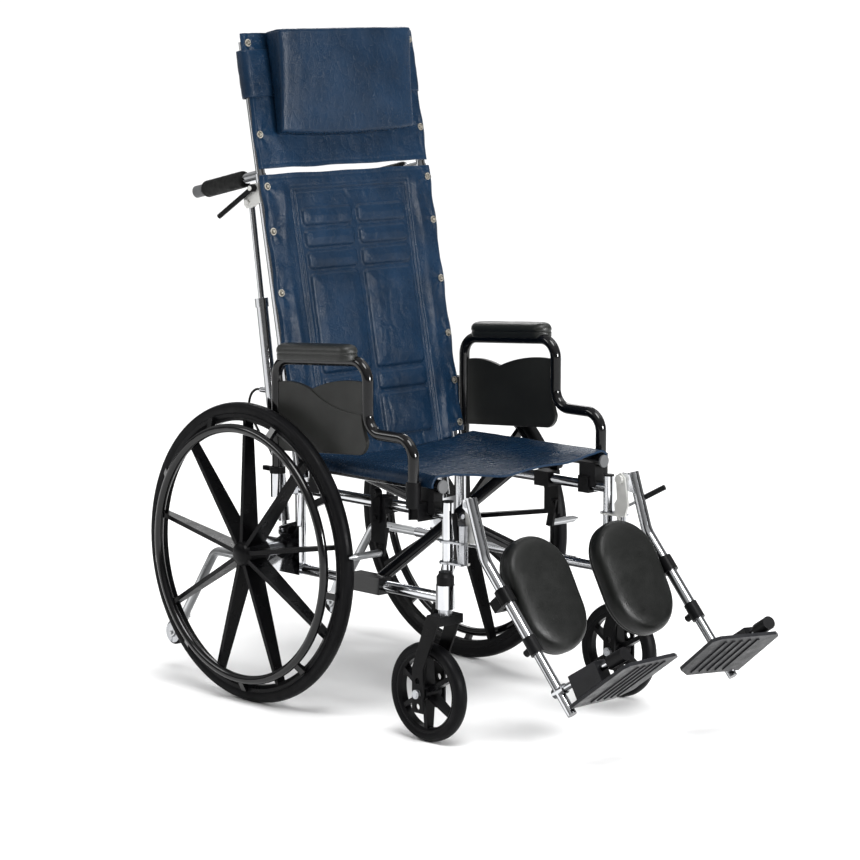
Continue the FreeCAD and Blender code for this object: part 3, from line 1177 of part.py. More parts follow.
def chair():
    """Every node of the chair, in the build frame."""
    nodes = {}
    for name, shape in side_pieces(left=True).items():
        nodes[name + "_left"] = shape
    for name, shape in side_pieces(left=False).items():
        nodes[name + "_right"] = shape.mirror(ORIGIN, X_AXIS)
    nodes["crossbrace_a"] = crossbrace(BRACE_A_Y, bolt=True)
    nodes["crossbrace_b"] = crossbrace(BRACE_B_Y, bolt=False).mirror(ORIGIN, X_AXIS)
    nodes["seat_sling"] = seat_sling()
    nodes["back_sling"] = back_sling()
    nodes["head_sling"] = head_sling()
    nodes["head_pillow"] = head_pillow()
    return nodes


def footprint_shift(nodes):
    """Move along Y that centres the chair's footprint on the origin."""
    box = Part.makeCompound(list(nodes.values())).BoundBox
    return vec(0, -(box.YMin + box.YMax) / 2, 0)


def main():
    os.makedirs("parts", exist_ok=True)
    nodes = chair()
    shift = footprint_shift(nodes)
    for name, shape in nodes.items():
        shape.translated(shift).exportStep("parts/" + name + ".step")


if __name__ == "__main__":
    main()
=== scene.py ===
import json
import math

import bmesh
import bpy
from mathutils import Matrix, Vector, noise


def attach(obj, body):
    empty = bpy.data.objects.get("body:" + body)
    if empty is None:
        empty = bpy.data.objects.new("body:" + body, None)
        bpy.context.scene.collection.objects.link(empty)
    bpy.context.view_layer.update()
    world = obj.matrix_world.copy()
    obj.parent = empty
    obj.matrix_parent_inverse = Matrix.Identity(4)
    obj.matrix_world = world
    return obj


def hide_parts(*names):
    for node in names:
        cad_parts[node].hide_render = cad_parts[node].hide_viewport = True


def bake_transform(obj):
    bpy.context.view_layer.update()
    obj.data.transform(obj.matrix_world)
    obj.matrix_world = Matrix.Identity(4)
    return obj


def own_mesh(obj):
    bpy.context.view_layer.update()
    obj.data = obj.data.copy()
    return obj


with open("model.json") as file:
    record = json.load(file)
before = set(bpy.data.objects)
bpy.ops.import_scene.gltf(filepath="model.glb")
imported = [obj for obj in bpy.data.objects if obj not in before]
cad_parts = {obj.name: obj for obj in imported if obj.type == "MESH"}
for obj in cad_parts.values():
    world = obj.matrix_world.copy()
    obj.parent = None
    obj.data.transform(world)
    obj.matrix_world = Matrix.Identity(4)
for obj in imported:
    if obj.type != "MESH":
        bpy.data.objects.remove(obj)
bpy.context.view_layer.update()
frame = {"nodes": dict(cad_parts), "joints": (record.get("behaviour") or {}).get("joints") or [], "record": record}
NODES = frame["nodes"]
BODY_OF = {name: body for body, names in frame["record"]["behaviour"]["bodies"].items() for name in names}
JOINTS = {joint["name"]: joint for joint in frame["joints"]}

# Sizes are in millimetres from the floor under the rear axle; SHIFT takes them to the frame.
SHIFT = JOINTS["right_wheel_spin"]["pos_m"][1] * 1000.0

# Wheels
WHEEL_X = 300.0
WHEEL_R = 305.0
CASTER_X = 268.0
CASTER_Y = -489.0
CASTER_R = 97.0
TIP_WHEEL_Y = 329.0
TIP_WHEEL_Z = 80.0

# Reclining back, with heights along the canes from their pivot
CANE_X = 222.0
CANE_R = 11.1
HEAD_POST_R = 9.5
LEAN = math.radians(10.9)
RECLINE_Y = -67.0
RECLINE_Z = 470.0
HANDLE_HEIGHT = 600.0
HANDLE_DROP = math.radians(1.7)
GRIP_R = 17.5
GRIP_START = 48.0
GRIP_LENGTH = 126.0

# Slings of the back and the head
SLING_EDGE = 14.0
SLING_GAP = 0.3
SLING_DEPTH = 4.0
SLING_SKIN = 2.6
FLAP_LOW = 8.0
BACK_LOW = 36.0
BACK_HIGH = HANDLE_HEIGHT - 2.0
BACK_SCREWS = (54.0, 143.0, 243.0, 359.0, HANDLE_HEIGHT - 117.0, HANDLE_HEIGHT - 26.0)
HEAD_LOW = HANDLE_HEIGHT + 10.0
HEAD_HIGH = 884.0
HEAD_SCREWS = (HANDLE_HEIGHT + 79.0, 864.0)

# Quilting of the back: heights of the rows of fields, their middle and half width, and the stitched border
FIELD_ROWS = ((46.0, 135.0), (142.0, 181.0), (188.0, 393.0), (400.0, 438.0), (445.0, 482.0), (489.0, 527.0))
FIELD_X = 74.0
FIELD_HALF = 68.0
FIELD_CORNER = 11.0
FIELD_ROLL = 8.0
BORDER_LINES = ((154.0, 563.5), (162.0, 571.0))

# Head pillow and the band that holds it
PILLOW_LOW = 676.0
PILLOW_HIGH = 886.0
PILLOW_HALF = 182.0
PILLOW_THIN = 28.0
PILLOW_DEEP = 61.0
PILLOW_GAP = 0.6
PILLOW_BACK = HEAD_POST_R + PILLOW_GAP + SLING_DEPTH
BAND_GAP = 0.4
BAND_LOW = 755.0
BAND_HIGH = 850.0
BAND_SKIN = 1.8

# Seat
RAIL_X = 225.0
RAIL_Z = 489.0
RAIL_R = 12.7
SEAT_FRONT = -475.0
SEAT_REAR = -106.0
SEAT_SAG = 16.0
SEAT_DEPTH = 5.0
SEAT_SKIN = 4.2
SEAT_WRAP = math.radians(96.0)

# Arm pads and calf pads
ARM_X = 271.0
ARM_PAD_Y = -175.0
ARM_FRONT_Y = -312.0
ARM_FRONT_Z = 718.0
ARM_REAR_Y = -45.0
ARM_REAR_Z = 699.0
ARM_PAD_HALF = 109.0
ARM_PAD_R = 23.0
CALF_PLACE = (123.0, -656.0, 291.0)
CALF_TILT = math.radians(90.0 - 29.0)
CALF_HALF = 118.0
CALF_R = 82.0
CALF_MIDDLE = 22.0

# Recline cylinder and its cable
CYLINDER_FOOT = Vector((225.0, -25.0, 345.0))
CYLINDER_R = 12.0
ROD_END_BACK = 35.0
ROD_END_UP = HANDLE_HEIGHT - 50.0
VALVE_ALONG = 283.0
VALVE_BACK = 30.0
CLIP_ALONG = 165.0
CABLE_R = 2.5


def at(x, y, z):
    """Point in the frame, in metres."""
    return Vector((x, y + SHIFT, z)) / 1000.0


def back_place(back, up):
    """Y and Z of a point of the reclining back, given square to the cane and along it from its pivot."""
    y = RECLINE_Y + back * math.cos(LEAN) + up * math.sin(LEAN)
    z = RECLINE_Z - back * math.sin(LEAN) + up * math.cos(LEAN)
    return y, z


def on_back(x, back, up):
    return at(x, *back_place(back, up))


def both(name):
    """The right and the left node of a pair, each with the sign of its side."""
    return (name + "_right", -1.0), (name + "_left", 1.0)


def smooth(low, high, value):
    t = min(1.0, max(0.0, (value - low) / (high - low)))
    return t * t * (3.0 - 2.0 * t)


def bell(offset, width):
    return math.exp(-(offset / width) ** 2)


def quarter_round(distance, radius):
    """Rises from 0 at an edge to 1 at the radius, as a rounded edge does."""
    return math.sqrt(max(0.0, 1.0 - (1.0 - min(1.0, distance / radius)) ** 2))


def ripple(x, y, scale, seed):
    """Soft noise between about -1 and 1, the size of its waves in millimetres."""
    return noise.noise(Vector((x / scale, y / scale, seed * 7.3)))


def crease(x, y, scale, seed):
    """Thin wandering lines, 1 on a line and 0 away from it."""
    line = smooth(0.2, 0.0, abs(ripple(x, y, scale, seed)))
    return line * smooth(-0.1, 0.35, ripple(x, y, scale * 2.7, seed + 3.0))


# Shader nodes

def new_material(name):
    material = bpy.data.materials.new(name)
    material.use_nodes = True
    tree = material.node_tree
    shader = tree.nodes["Principled BSDF"]
    coordinates = tree.nodes.new("ShaderNodeTexCoord")
    return material, tree, shader, coordinates.outputs["Object"]


def noise_node(tree, place, scale, detail=4.0, rough=0.55, output="Fac"):
    node = tree.nodes.new("ShaderNodeTexNoise")
    node.inputs["Scale"].default_value = scale
    node.inputs["Detail"].default_value = detail
    node.inputs["Roughness"].default_value = rough
    tree.links.new(place, node.inputs["Vector"])
    return node.outputs[output]


def cell_node(tree, place, scale):
    """Distance to the nearest edge between cells."""
    node = tree.nodes.new("ShaderNodeTexVoronoi")
    node.feature = "DISTANCE_TO_EDGE"
    node.inputs["Scale"].default_value = scale
    tree.links.new(place, node.inputs["Vector"])
    return node.outputs["Distance"]


def range_node(tree, value, span, onto=(0.0, 1.0), soft=False):
    """Maps one range onto another, clamped, with soft ends where asked."""
    node = tree.nodes.new("ShaderNodeMapRange")
    if soft:
        node.interpolation_type = "SMOOTHSTEP"
    for socket, number in zip(("From Min", "From Max", "To Min", "To Max"), (*span, *onto)):
        node.inputs[socket].default_value = number
    tree.links.new(value, node.inputs["Value"])
    return node.outputs["Result"]


def spread_node(tree, value, low, high):
    """Maps noise about its middle onto a range."""
    return range_node(tree, value, (0.3, 0.7), (low, high))


def math_node(tree, operation, first, second):
    node = tree.nodes.new("ShaderNodeMath")
    node.operation = operation
    tree.links.new(first, node.inputs[0])
    if isinstance(second, bpy.types.NodeSocket):
        tree.links.new(second, node.inputs[1])
    else:
        node.inputs[1].default_value = second
    return node.outputs[0]


def mix_node(tree, share, first, second):
    node = tree.nodes.new("ShaderNodeMix")
    node.data_type = "RGBA"
    tree.links.new(share, node.inputs["Factor"])
    for socket, colour in (("A", first), ("B", second)):
        target = [s for s in node.inputs if s.name == socket and s.type == "RGBA"][0]
        if isinstance(colour, bpy.types.NodeSocket):
            tree.links.new(colour, target)
        else:
            target.default_value = (*colour, 1.0)
    return [s for s in node.outputs if s.type == "RGBA"][0]


def bump_node(tree, height, strength, distance, below=None):
    node = tree.nodes.new("ShaderNodeBump")
    node.inputs["Strength"].default_value = strength
    node.inputs["Distance"].default_value = distance
    tree.links.new(height, node.inputs["Height"])
    if below is not None:
        tree.links.new(below, node.inputs["Normal"])
    return node.outputs["Normal"]


def worn_edges(tree, colour, edge, amount):
    """Lightens convex edges a little."""
    geometry = tree.nodes.new("ShaderNodeNewGeometry")
    share = range_node(tree, geometry.outputs["Pointiness"], (0.53, 0.62), (0.0, amount))
    return mix_node(tree, share, colour, edge)


# Materials

def hard_material(name, colour, roughness, metallic=0.0, vary=0.3, patch=14.0, grain=0.1, grain_scale=1500.0,
                  edge=None, edge_amount=0.3, coat=0.0, specular=0.5):
    """Metal, paint or moulded plastic: mottled colour, uneven gloss, fine grain and worn edges."""
    material, tree, shader, place = new_material(name)
    darker = tuple(c * (1.0 - vary) for c in colour)
    lighter = tuple(min(1.0, c * (1.0 + vary * 0.6)) for c in colour)
    cloud = noise_node(tree, place, patch, 5.0)
    colours = mix_node(tree, spread_node(tree, cloud, 0.0, 1.0), darker, lighter)
    if edge is not None:
        colours = worn_edges(tree, colours, edge, edge_amount)
    tree.links.new(colours, shader.inputs["Base Color"])
    smears = noise_node(tree, place, patch * 2.3, 6.0, 0.65)
    gloss = spread_node(tree, smears, roughness * 0.7, roughness * 1.3)
    tree.links.new(gloss, shader.inputs["Roughness"])
    shader.inputs["Metallic"].default_value = metallic
    shader.inputs["Specular IOR Level"].default_value = specular
    shader.inputs["Coat Weight"].default_value = coat
    shader.inputs["Coat Roughness"].default_value = 0.08
    fine = noise_node(tree, place, grain_scale, 2.0)
    tree.links.new(bump_node(tree, fine, grain, 0.0004), shader.inputs["Normal"])
    return material


def vinyl_material(name, colour, roughness, folding, pebble=620.0, pebble_strength=0.28, specular=0.26):
    """Grained vinyl: pebbled skin, soft folds, thin creases and slightly rubbed high spots."""
    material, tree, shader, place = new_material(name)
    darker = tuple(c * 0.72 for c in colour)
    lighter = tuple(min(1.0, c * 1.3) for c in colour)
    rubbed = tuple(min(1.0, c * 1.9 + 0.01) for c in colour)
    cloud = noise_node(tree, place, 9.0, 6.0, 0.6)
    colours = mix_node(tree, spread_node(tree, cloud, 0.0, 1.0), darker, lighter)
    tree.links.new(worn_edges(tree, colours, rubbed, 0.35), shader.inputs["Base Color"])

    stretched = tree.nodes.new("ShaderNodeMapping")
    stretched.inputs["Scale"].default_value = (1.0, 2.6, 0.75)
    tree.links.new(place, stretched.inputs["Vector"])
    drawn = stretched.outputs["Vector"]
    folds = noise_node(tree, drawn, 34.0, 7.0, 0.62)
    normal = bump_node(tree, folds, folding, 0.004)

    wander = noise_node(tree, drawn, 38.0, 3.0, 0.5, "Color")
    moved = tree.nodes.new("ShaderNodeVectorMath")
    moved.operation = "MULTIPLY_ADD"
    moved.inputs[1].default_value = (0.03, 0.03, 0.03)
    tree.links.new(wander, moved.inputs[0])
    tree.links.new(drawn, moved.inputs[2])
    lines = cell_node(tree, moved.outputs["Vector"], 48.0)
    valleys = range_node(tree, lines, (0.0, 0.09), soft=True)
    normal = bump_node(tree, valleys, folding * 0.55, 0.0012, normal)

    grooves = range_node(tree, cell_node(tree, place, pebble), (0.0, 0.16))
    normal = bump_node(tree, grooves, pebble_strength, 0.00035, normal)
    tree.links.new(normal, shader.inputs["Normal"])
    gloss = spread_node(tree, folds, roughness * 0.8, roughness * 1.25)
    tree.links.new(gloss, shader.inputs["Roughness"])
    shader.inputs["Specular IOR Level"].default_value = specular
    return material


# Painted reflection: dark bands painted into the colour of polished metal, as if it mirrored dark studio cards;
# each has a direction, and the lowest and highest share of it
PAINTED_REFLECTION_SIDE = (0.72, -0.69, 0.0)
PAINTED_REFLECTION_UP = (0.0, 0.0, 1.0)
PAINTED_REFLECTION_CARDS = ((PAINTED_REFLECTION_SIDE, 0.3, 0.62), (PAINTED_REFLECTION_SIDE, -0.97, -0.8), (PAINTED_REFLECTION_UP, -0.8, -0.22))
PAINTED_REFLECTION_BLUR = 0.07
PAINTED_REFLECTION_COLOUR = (0.02, 0.021, 0.023)


def painted_reflection_bands(material, strength):
    """Painted reflection: dark lines painted into the base colour of polished metal, as dark studio cards would
    leave, fixed in the room.
    """
    tree = material.node_tree
    shader = tree.nodes["Principled BSDF"]
    colours = shader.inputs["Base Color"].links[0].from_socket
    geometry = tree.nodes.new("ShaderNodeNewGeometry")
    bands = []
    for direction, low, high in PAINTED_REFLECTION_CARDS:
        across = tree.nodes.new("ShaderNodeVectorMath")
        across.operation = "DOT_PRODUCT"
        across.inputs[1].default_value = direction
        tree.links.new(geometry.outputs["Normal"], across.inputs[0])
        facing = across.outputs["Value"]
        rise = range_node(tree, facing, (low - PAINTED_REFLECTION_BLUR, low + PAINTED_REFLECTION_BLUR), soft=True)
        fall = range_node(tree, facing, (high + PAINTED_REFLECTION_BLUR, high - PAINTED_REFLECTION_BLUR), soft=True)
        bands.append(math_node(tree, "MULTIPLY", rise, fall))
    share = bands[0]
    for band in bands[1:]:
        share = math_node(tree, "MAXIMUM", share, band)
    amount = math_node(tree, "MULTIPLY", share, strength)
    tree.links.new(mix_node(tree, amount, colours, PAINTED_REFLECTION_COLOUR), shader.inputs["Base Color"])


CHROME = hard_material("chrome_plate", (0.62, 0.63, 0.65), 0.09, metallic=1.0, vary=0.08, patch=22.0,
                       grain=0.03, grain_scale=900.0)
# Painted reflection: dark bands painted into the chrome's base colour.
painted_reflection_bands(CHROME, 0.92)
STEEL = hard_material("zinc_steel", (0.46, 0.47, 0.49), 0.3, metallic=1.0, vary=0.14, patch=30.0, grain=0.12,
                      grain_scale=1600.0)
# Painted reflection: dark bands painted into the zinc steel's base colour.
painted_reflection_bands(STEEL, 0.6)
PALE_STEEL = hard_material("satin_grey_plate", (0.6, 0.6, 0.58), 0.42, metallic=0.7, vary=0.12, patch=26.0,
                           grain_scale=1300.0)
# Painted shade: a dark steel colour for the cone of each sling screw's cup washer, where shade falls.
PAINTED_SHADE_STEEL = hard_material("painted_shade_steel", (0.13, 0.12, 0.1), 0.35, metallic=1.0, vary=0.2, patch=40.0,
                           grain_scale=1600.0)
NICKEL = hard_material("nickel_plate", (0.86, 0.81, 0.7), 0.3, metallic=1.0, vary=0.12, patch=60.0,
                       grain=0.06)
ALLOY = hard_material("satin_alloy", (0.52, 0.53, 0.54), 0.34, metallic=1.0, vary=0.12, patch=24.0)
# Painted reflection: dark bands painted into the satin alloy's base colour.
painted_reflection_bands(ALLOY, 0.5)
GLOSS_BLACK = hard_material("gloss_black_paint", (0.003, 0.003, 0.0034), 0.14, patch=12.0, grain=0.03,
                            grain_scale=500.0, edge=(0.03, 0.03, 0.032), edge_amount=0.25, coat=0.12,
                            specular=0.3)
SATIN_BLACK = hard_material("satin_black_coat", (0.0024, 0.0024, 0.0027), 0.34, patch=16.0, grain=0.12,
                            edge=(0.022, 0.022, 0.023), edge_amount=0.35, specular=0.08)
MOULDED = hard_material("moulded_black", (0.0028, 0.0028, 0.0032), 0.4, patch=18.0, grain=0.2,
                        grain_scale=1700.0, edge=(0.03, 0.03, 0.032), edge_amount=0.35, specular=0.1)
MAG = hard_material("mag_composite", (0.0024, 0.0024, 0.0029), 0.32, vary=0.28, patch=15.0, grain=0.14,
                    edge=(0.022, 0.022, 0.025), specular=0.09)
GUARD = hard_material("textured_guard", (0.022, 0.0225, 0.021), 0.4, vary=0.22, patch=13.0, grain=0.4,
                      grain_scale=950.0, edge=(0.035, 0.035, 0.034), specular=0.2)
TREAD = hard_material("solid_tyre", (0.0032, 0.0032, 0.0038), 0.46, patch=19.0, grain=0.25,
                      grain_scale=1100.0, edge=(0.02, 0.02, 0.022), specular=0.08)
PLATE_BLACK = hard_material("ribbed_composite", (0.0045, 0.0047, 0.006), 0.38, patch=20.0, grain=0.3,
                            grain_scale=1200.0, edge=(0.035, 0.036, 0.042), edge_amount=0.45, specular=0.18)
FOAM = hard_material("grip_foam", (0.0075, 0.0078, 0.0076), 0.6, patch=40.0, grain=0.5, grain_scale=1900.0,
                     specular=0.12)
GREY_CAP = hard_material("grey_cap", (0.09, 0.092, 0.095), 0.42, vary=0.2, patch=25.0, grain=0.15,
                         grain_scale=1300.0, specular=0.3)
JACKET = hard_material("cable_jacket", (0.005, 0.005, 0.0055), 0.36, patch=50.0, specular=0.2)
NAVY = vinyl_material("navy_vinyl", (0.004, 0.0148, 0.034), 0.27, 0.3, specular=0.15)
BLACK_VINYL = vinyl_material("black_vinyl", (0.0036, 0.004, 0.0036), 0.34, 0.12, pebble=700.0,
                             pebble_strength=0.2, specular=0.22)
PAD_SKIN = vinyl_material("pad_skin", (0.0095, 0.0104, 0.0094), 0.34, 0.1, pebble=800.0, pebble_strength=0.2,
                          specular=0.36)


# Mesh helpers

def add_object(name, data):
    item = bpy.data.objects.new(name, data)
    bpy.context.scene.collection.objects.link(item)
    return item


def mesh_piece(name, points, faces, material, node):
    mesh = bpy.data.meshes.new(name)
    mesh.from_pydata([tuple(p) for p in points], [], faces)
    mesh.update()
    piece = add_object(name, mesh)
    mesh.materials.append(material)
    for polygon in mesh.polygons:
        polygon.use_smooth = True
    work = bmesh.new()
    work.from_mesh(mesh)
    bmesh.ops.recalc_face_normals(work, faces=work.faces)
    work.to_mesh(mesh)
    work.free()
    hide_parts(node)
    return piece


def apply_modifiers(piece):
    """Bakes a piece's modifiers into its mesh."""
    bpy.context.view_layer.update()
    graph = bpy.context.evaluated_depsgraph_get()
    baked = bpy.data.meshes.new_from_object(piece.evaluated_get(graph))
    piece.modifiers.clear()
    piece.data = baked
    for polygon in baked.polygons:
        polygon.use_smooth = True


def thicken(piece, skin, offset):
    """Gives a sheet its thickness in millimetres, to one side of it or shared between both."""
    modifier = piece.modifiers.new("thickness", "SOLIDIFY")
    modifier.thickness = skin / 1000.0
    modifier.offset = offset
    apply_modifiers(piece)


def grid_faces(rows, columns, wrap=False):
    faces = []
    span = columns if wrap else columns - 1
    for row in range(rows - 1):
        for column in range(span):
            a = row * columns + column
            b = row * columns + (column + 1) % columns
            faces.append((a, b, b + columns, a + columns))
    return faces


def rings_piece(name, rings, material, node):
    """Closed, rounded form through rings of equal length, capped at both ends."""
    count = len(rings[0])
    points = [p for ring in rings for p in ring]
    faces = grid_faces(len(rings), count, wrap=True)
    for ring, first in ((rings[0], 0), (rings[-1], (len(rings) - 1) * count)):
        centre = len(points)
        points.append(sum(ring, Vector()) / count)
        for index in range(count):
            faces.append((first + index, first + (index + 1) % count, centre))
    piece = mesh_piece(name, points, faces, material, node)
    rounding = piece.modifiers.new("rounding", "SUBSURF")
    rounding.levels = 1
    rounding.render_levels = 1
    apply_modifiers(piece)
    return piece


def dressed(node, rules, bevel, angle=32.0):
    """Copy of a hard CAD piece with rounded edges, and a material for each face by where it is."""
    mesh = NODES[node].data.copy()
    mesh.name = node + "_shell"
    work = bmesh.new()
    work.from_mesh(mesh)
    bmesh.ops.remove_doubles(work, verts=work.verts, dist=0.000005)
    bmesh.ops.dissolve_limit(work, angle_limit=math.radians(0.6), verts=work.verts, edges=work.edges)
    work.to_mesh(mesh)
    work.free()
    old_normals = mesh.attributes.get("custom_normal")
    if mesh.has_custom_normals and old_normals is not None:
        mesh.attributes.remove(old_normals)
    mesh.materials.clear()
    kinds = []
    for material, test in rules:
        if material not in kinds:
            kinds.append(material)
            mesh.materials.append(material)
    hand = -1.0 if node.endswith("_right") else 1.0
    for polygon in mesh.polygons:
        polygon.use_smooth = True
        c = polygon.center * 1000.0
        n = polygon.normal
        spot = (c.x * hand, c.y - SHIFT, c.z)
        facing = (n.x * hand, n.y, n.z)
        for material, test in rules:
            if test is None or test(spot, facing):
                polygon.material_index = kinds.index(material)
                break
    mesh.set_sharp_from_angle(angle=math.radians(angle))
    piece = add_object(node + "_shell", mesh)
    edge = piece.modifiers.new("edges", "BEVEL")
    edge.width = bevel / 1000.0
    edge.segments = 2
    edge.limit_method = "ANGLE"
    edge.angle_limit = math.radians(angle)
    edge.harden_normals = True
    edge.use_clamp_overlap = True
    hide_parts(node)
    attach(piece, BODY_OF[node])


def obround(half_length, radius, turns=14, sides=8):
    """Outline with round ends, the long side on the second axis."""
    flat = half_length - radius
    outline = []
    for end in (1, -1):
        for step in range(turns + 1):
            angle = math.pi * step / turns
            outline.append((end * radius * math.cos(angle), end * (flat + radius * math.sin(angle))))
        for step in range(1, sides):
            outline.append((-end * radius, end * flat * (1.0 - 2.0 * step / sides)))
    return outline


# Parts of hard pieces that have a material of their own, by a face's place p and normal n on the left side

def near(value, middle, reach):
    return abs(value - middle) < reach


def axle_bolt(p, n):
    """The rear axle's bolt on the side frame."""
    reach = 20.0
    return near(p[1], 0.0, reach) and near(p[2], WHEEL_R, reach)


def caster_bolt(p, n):
    """The caster axle's bolt heads, outside the fork's legs."""
    reach = 11.0
    fork_half = 31.2
    return near(p[2], CASTER_R, reach) and near(p[1], CASTER_Y, reach) and abs(p[0] - CASTER_X) > fork_half


def caster_stem(p, n):
    fork_top = 255.2
    return p[2] > fork_top


def shoe_bar(p, n):
    """The bar of the wheel lock that presses on the tyre."""
    bar_inside = 240.5
    return p[0] > bar_inside


def handle_cap(p, n):
    grip_end = 218.5
    return p[1] > grip_end


def ahead_of_cane(p):
    return (p[2] - RECLINE_Z) * math.sin(LEAN) - (p[1] - RECLINE_Y) * math.cos(LEAN)


def screw_recess(p, n):
    """The cone of a sling screw's cup washer, which is given a dark steel colour as painted shade."""
    facing = n[2] * math.sin(LEAN) - n[1] * math.cos(LEAN)
    return ahead_of_cane(p) > 13.9 and 0.2 < facing < 0.95


def screw_face(p, n):
    """The rim and the middle of a sling screw."""
    return ahead_of_cane(p) > 13.4


def bracket_part(p, n):
    """The plate that carries the rod end and the release lever."""
    up = (p[2] - RECLINE_Z) * math.cos(LEAN) + (p[1] - RECLINE_Y) * math.sin(LEAN)
    return p[0] > 231.2 and HANDLE_HEIGHT - 64.0 < up < HANDLE_HEIGHT - 14.0


def tip_wheel_bolt(p, n):
    reach = 8.0
    return near(p[1], TIP_WHEEL_Y, reach) and near(p[2], TIP_WHEEL_Z, reach)


def quadrant_plate(p, n):
    """The legrest's pale plate, inside its hanger."""
    hanger_side = 214.2
    return p[0] < hanger_side


def right_lever_grip(p, n):
    """The finger grip of the right legrest's release lever."""
    return p[0] > 223.0 and -533.0 < p[1] < -517.0 and p[2] > 391.0


def left_lever_grip(p, n):
    """The finger grip of the left legrest's release lever."""
    return p[0] > 240.0 and p[1] < -560.0


def leg_collar(p, n):
    """The clamp collar and knob near the lower end of the leg tube."""
    bend_y, bend_z = -600.0, 362.0
    slope = math.radians(41.6)
    along = -(p[1] - bend_y) * math.sin(slope) - (p[2] - bend_z) * math.cos(slope)
    return along > 173.5


def foot_bumper(p, n):
    """The rubber bumper ahead of the foot tube."""
    return p[1] < -921.0 and p[2] > 190.0


def rail_cap(p, n):
    """The plugs in the ends of a seat rail."""
    front_end, rear_end = -481.2, -103.8
    return p[1] < front_end or p[1] > rear_end


def brace_bolt(p, n):
    """The ends of the bolt on which the braces cross."""
    bolt_middle, braces_half = -276.0, 27.0
    return abs(p[0]) < 7.0 and abs(p[1] - bolt_middle) > braces_half


def dress_all():
    """Hard pieces that keep their CAD shape, with their materials and the width of their rounded edges."""
    def pair(name, rules, bevel, angle=32.0):
        for node, _ in both(name):
            dressed(node, rules, bevel, angle)

    pair("side_frame", [(CHROME, None)], 0.5)
    pair("frame_fittings", [(STEEL, axle_bolt), (MOULDED, None)], 0.8)
    pair("rear_wheel", [(MAG, None)], 1.2, 28.0)
    pair("handrim", [(GLOSS_BLACK, None)], 1.0)
    pair("caster_fork", [(STEEL, caster_bolt), (STEEL, caster_stem), (SATIN_BLACK, None)], 1.0)
    pair("caster_wheel", [(MAG, None)], 1.0)
    pair("armrest_tube", [(GLOSS_BLACK, None)], 0.4)
    pair("skirt_guard", [(GUARD, None)], 1.6, 24.0)
    pair("brake_lever", [(SATIN_BLACK, None)], 0.9)
    pair("brake_shoe", [(ALLOY, shoe_bar), (SATIN_BLACK, None)], 0.6)
    # The cone of each sling screw's cup washer gets painted shade in a dark steel colour; the rim and middle are
    # nickel.
    pair("back_cane", [(GREY_CAP, handle_cap), (PAINTED_SHADE_STEEL, screw_recess), (NICKEL, screw_face),
                       (PALE_STEEL, bracket_part), (CHROME, None)], 0.4)
    pair("release_lever", [(SATIN_BLACK, None)], 0.8)
    pair("recline_cylinder", [(CHROME, None)], 0.5)
    pair("recline_rod", [(CHROME, None)], 0.4)
    pair("anti_tipper", [(ALLOY, None)], 0.6)
    pair("anti_tip_wheel", [(STEEL, tip_wheel_bolt), (TREAD, None)], 0.8)
    for node, grip in (("leg_hanger_right", right_lever_grip), ("leg_hanger_left", left_lever_grip)):
        dressed(node, [(PALE_STEEL, quadrant_plate), (MOULDED, grip), (STEEL, None)], 0.6)
    pair("leg_tube", [(MOULDED, leg_collar), (CHROME, None)], 0.5)
    pair("foot_tube", [(MOULDED, foot_bumper), (CHROME, None)], 0.6)
    pair("footplate", [(PLATE_BLACK, None)], 1.0)
    pair("calf_bracket", [(SATIN_BLACK, None)], 0.8)
    for node in ("crossbrace_a", "crossbrace_b"):
        dressed(node, [(GREY_CAP, rail_cap), (STEEL, brace_bolt), (GLOSS_BLACK, None)], 0.6)


# Tyres, turned about their axles with a finer profile

def ring_piece(name, node, centre, profile, steps):
    """Closed ring about X from (offset, radius) points."""
    points = []
    for step in range(steps):
        angle = 2.0 * math.pi * step / steps
        for offset, radius in profile:
            y = centre[1] + radius * math.cos(angle)
            z = centre[2] + radius * math.sin(angle)
            points.append(at(centre[0] + offset, y, z))
    count = len(profile)
    faces = []
    for step in range(steps):
        for index in range(count):
            a = step * count + index
            b = step * count + (index + 1) % count
            shift = ((step + 1) % steps - step) * count
            faces.append((a, b, b + shift, a + shift))
    piece = mesh_piece(name, points, faces, TREAD, node)
    piece.data.set_sharp_from_angle(angle=math.radians(40.0))
    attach(piece, BODY_OF[node])


def tyre_profile(radius, height, half, groove):
    """Round-shouldered tyre with two shallow tread grooves."""
    seat = radius - height
    lip, lip_rise = 1.5, 2.0
    shoulder, crown = 10.0, 9.0
    groove_place, groove_width = 0.42, 0.8
    steps = 24
    shape = [(-half + lip, seat), (-half, seat + lip_rise), (-half, radius - shoulder)]
    for step in range(1, steps):
        t = -1.0 + 2.0 * step / steps
        x = half * math.sin(t * math.pi / 2)
        drop = crown * (1.0 - math.sqrt(max(0.0, 1.0 - (x / half) ** 2 * 0.96)))
        cut = groove * sum(bell(x - side * half, groove_width) for side in (-groove_place, groove_place))
        shape.append((x, radius - drop - cut))
    shape += [(half, radius - shoulder), (half, seat + lip_rise), (half - lip, seat)]
    return shape


def tyres():
    rear = tyre_profile(WHEEL_R, 22.0, 12.5, 0.5)
    for node, hand in both("rear_tyre"):
        ring_piece(node + "_ring", node, (hand * WHEEL_X, 0.0, WHEEL_R), rear, 200)
    front = tyre_profile(CASTER_R, 18.0, 14.0, 0.4)
    for node, hand in both("caster_tyre"):
        ring_piece(node + "_ring", node, (hand * CASTER_X, CASTER_Y, CASTER_R), front, 120)


# Slings

def field_depth(wide, u, low, high):
    """How far a point lies inside a round-cornered field of the back, negative outside it."""
    across = abs(wide - FIELD_X) - (FIELD_HALF - FIELD_CORNER)
    along = abs(u - (low + high) / 2) - ((high - low) / 2 - FIELD_CORNER)
    return FIELD_CORNER - math.hypot(max(across, 0.0), max(along, 0.0)) - min(max(across, along), 0.0)


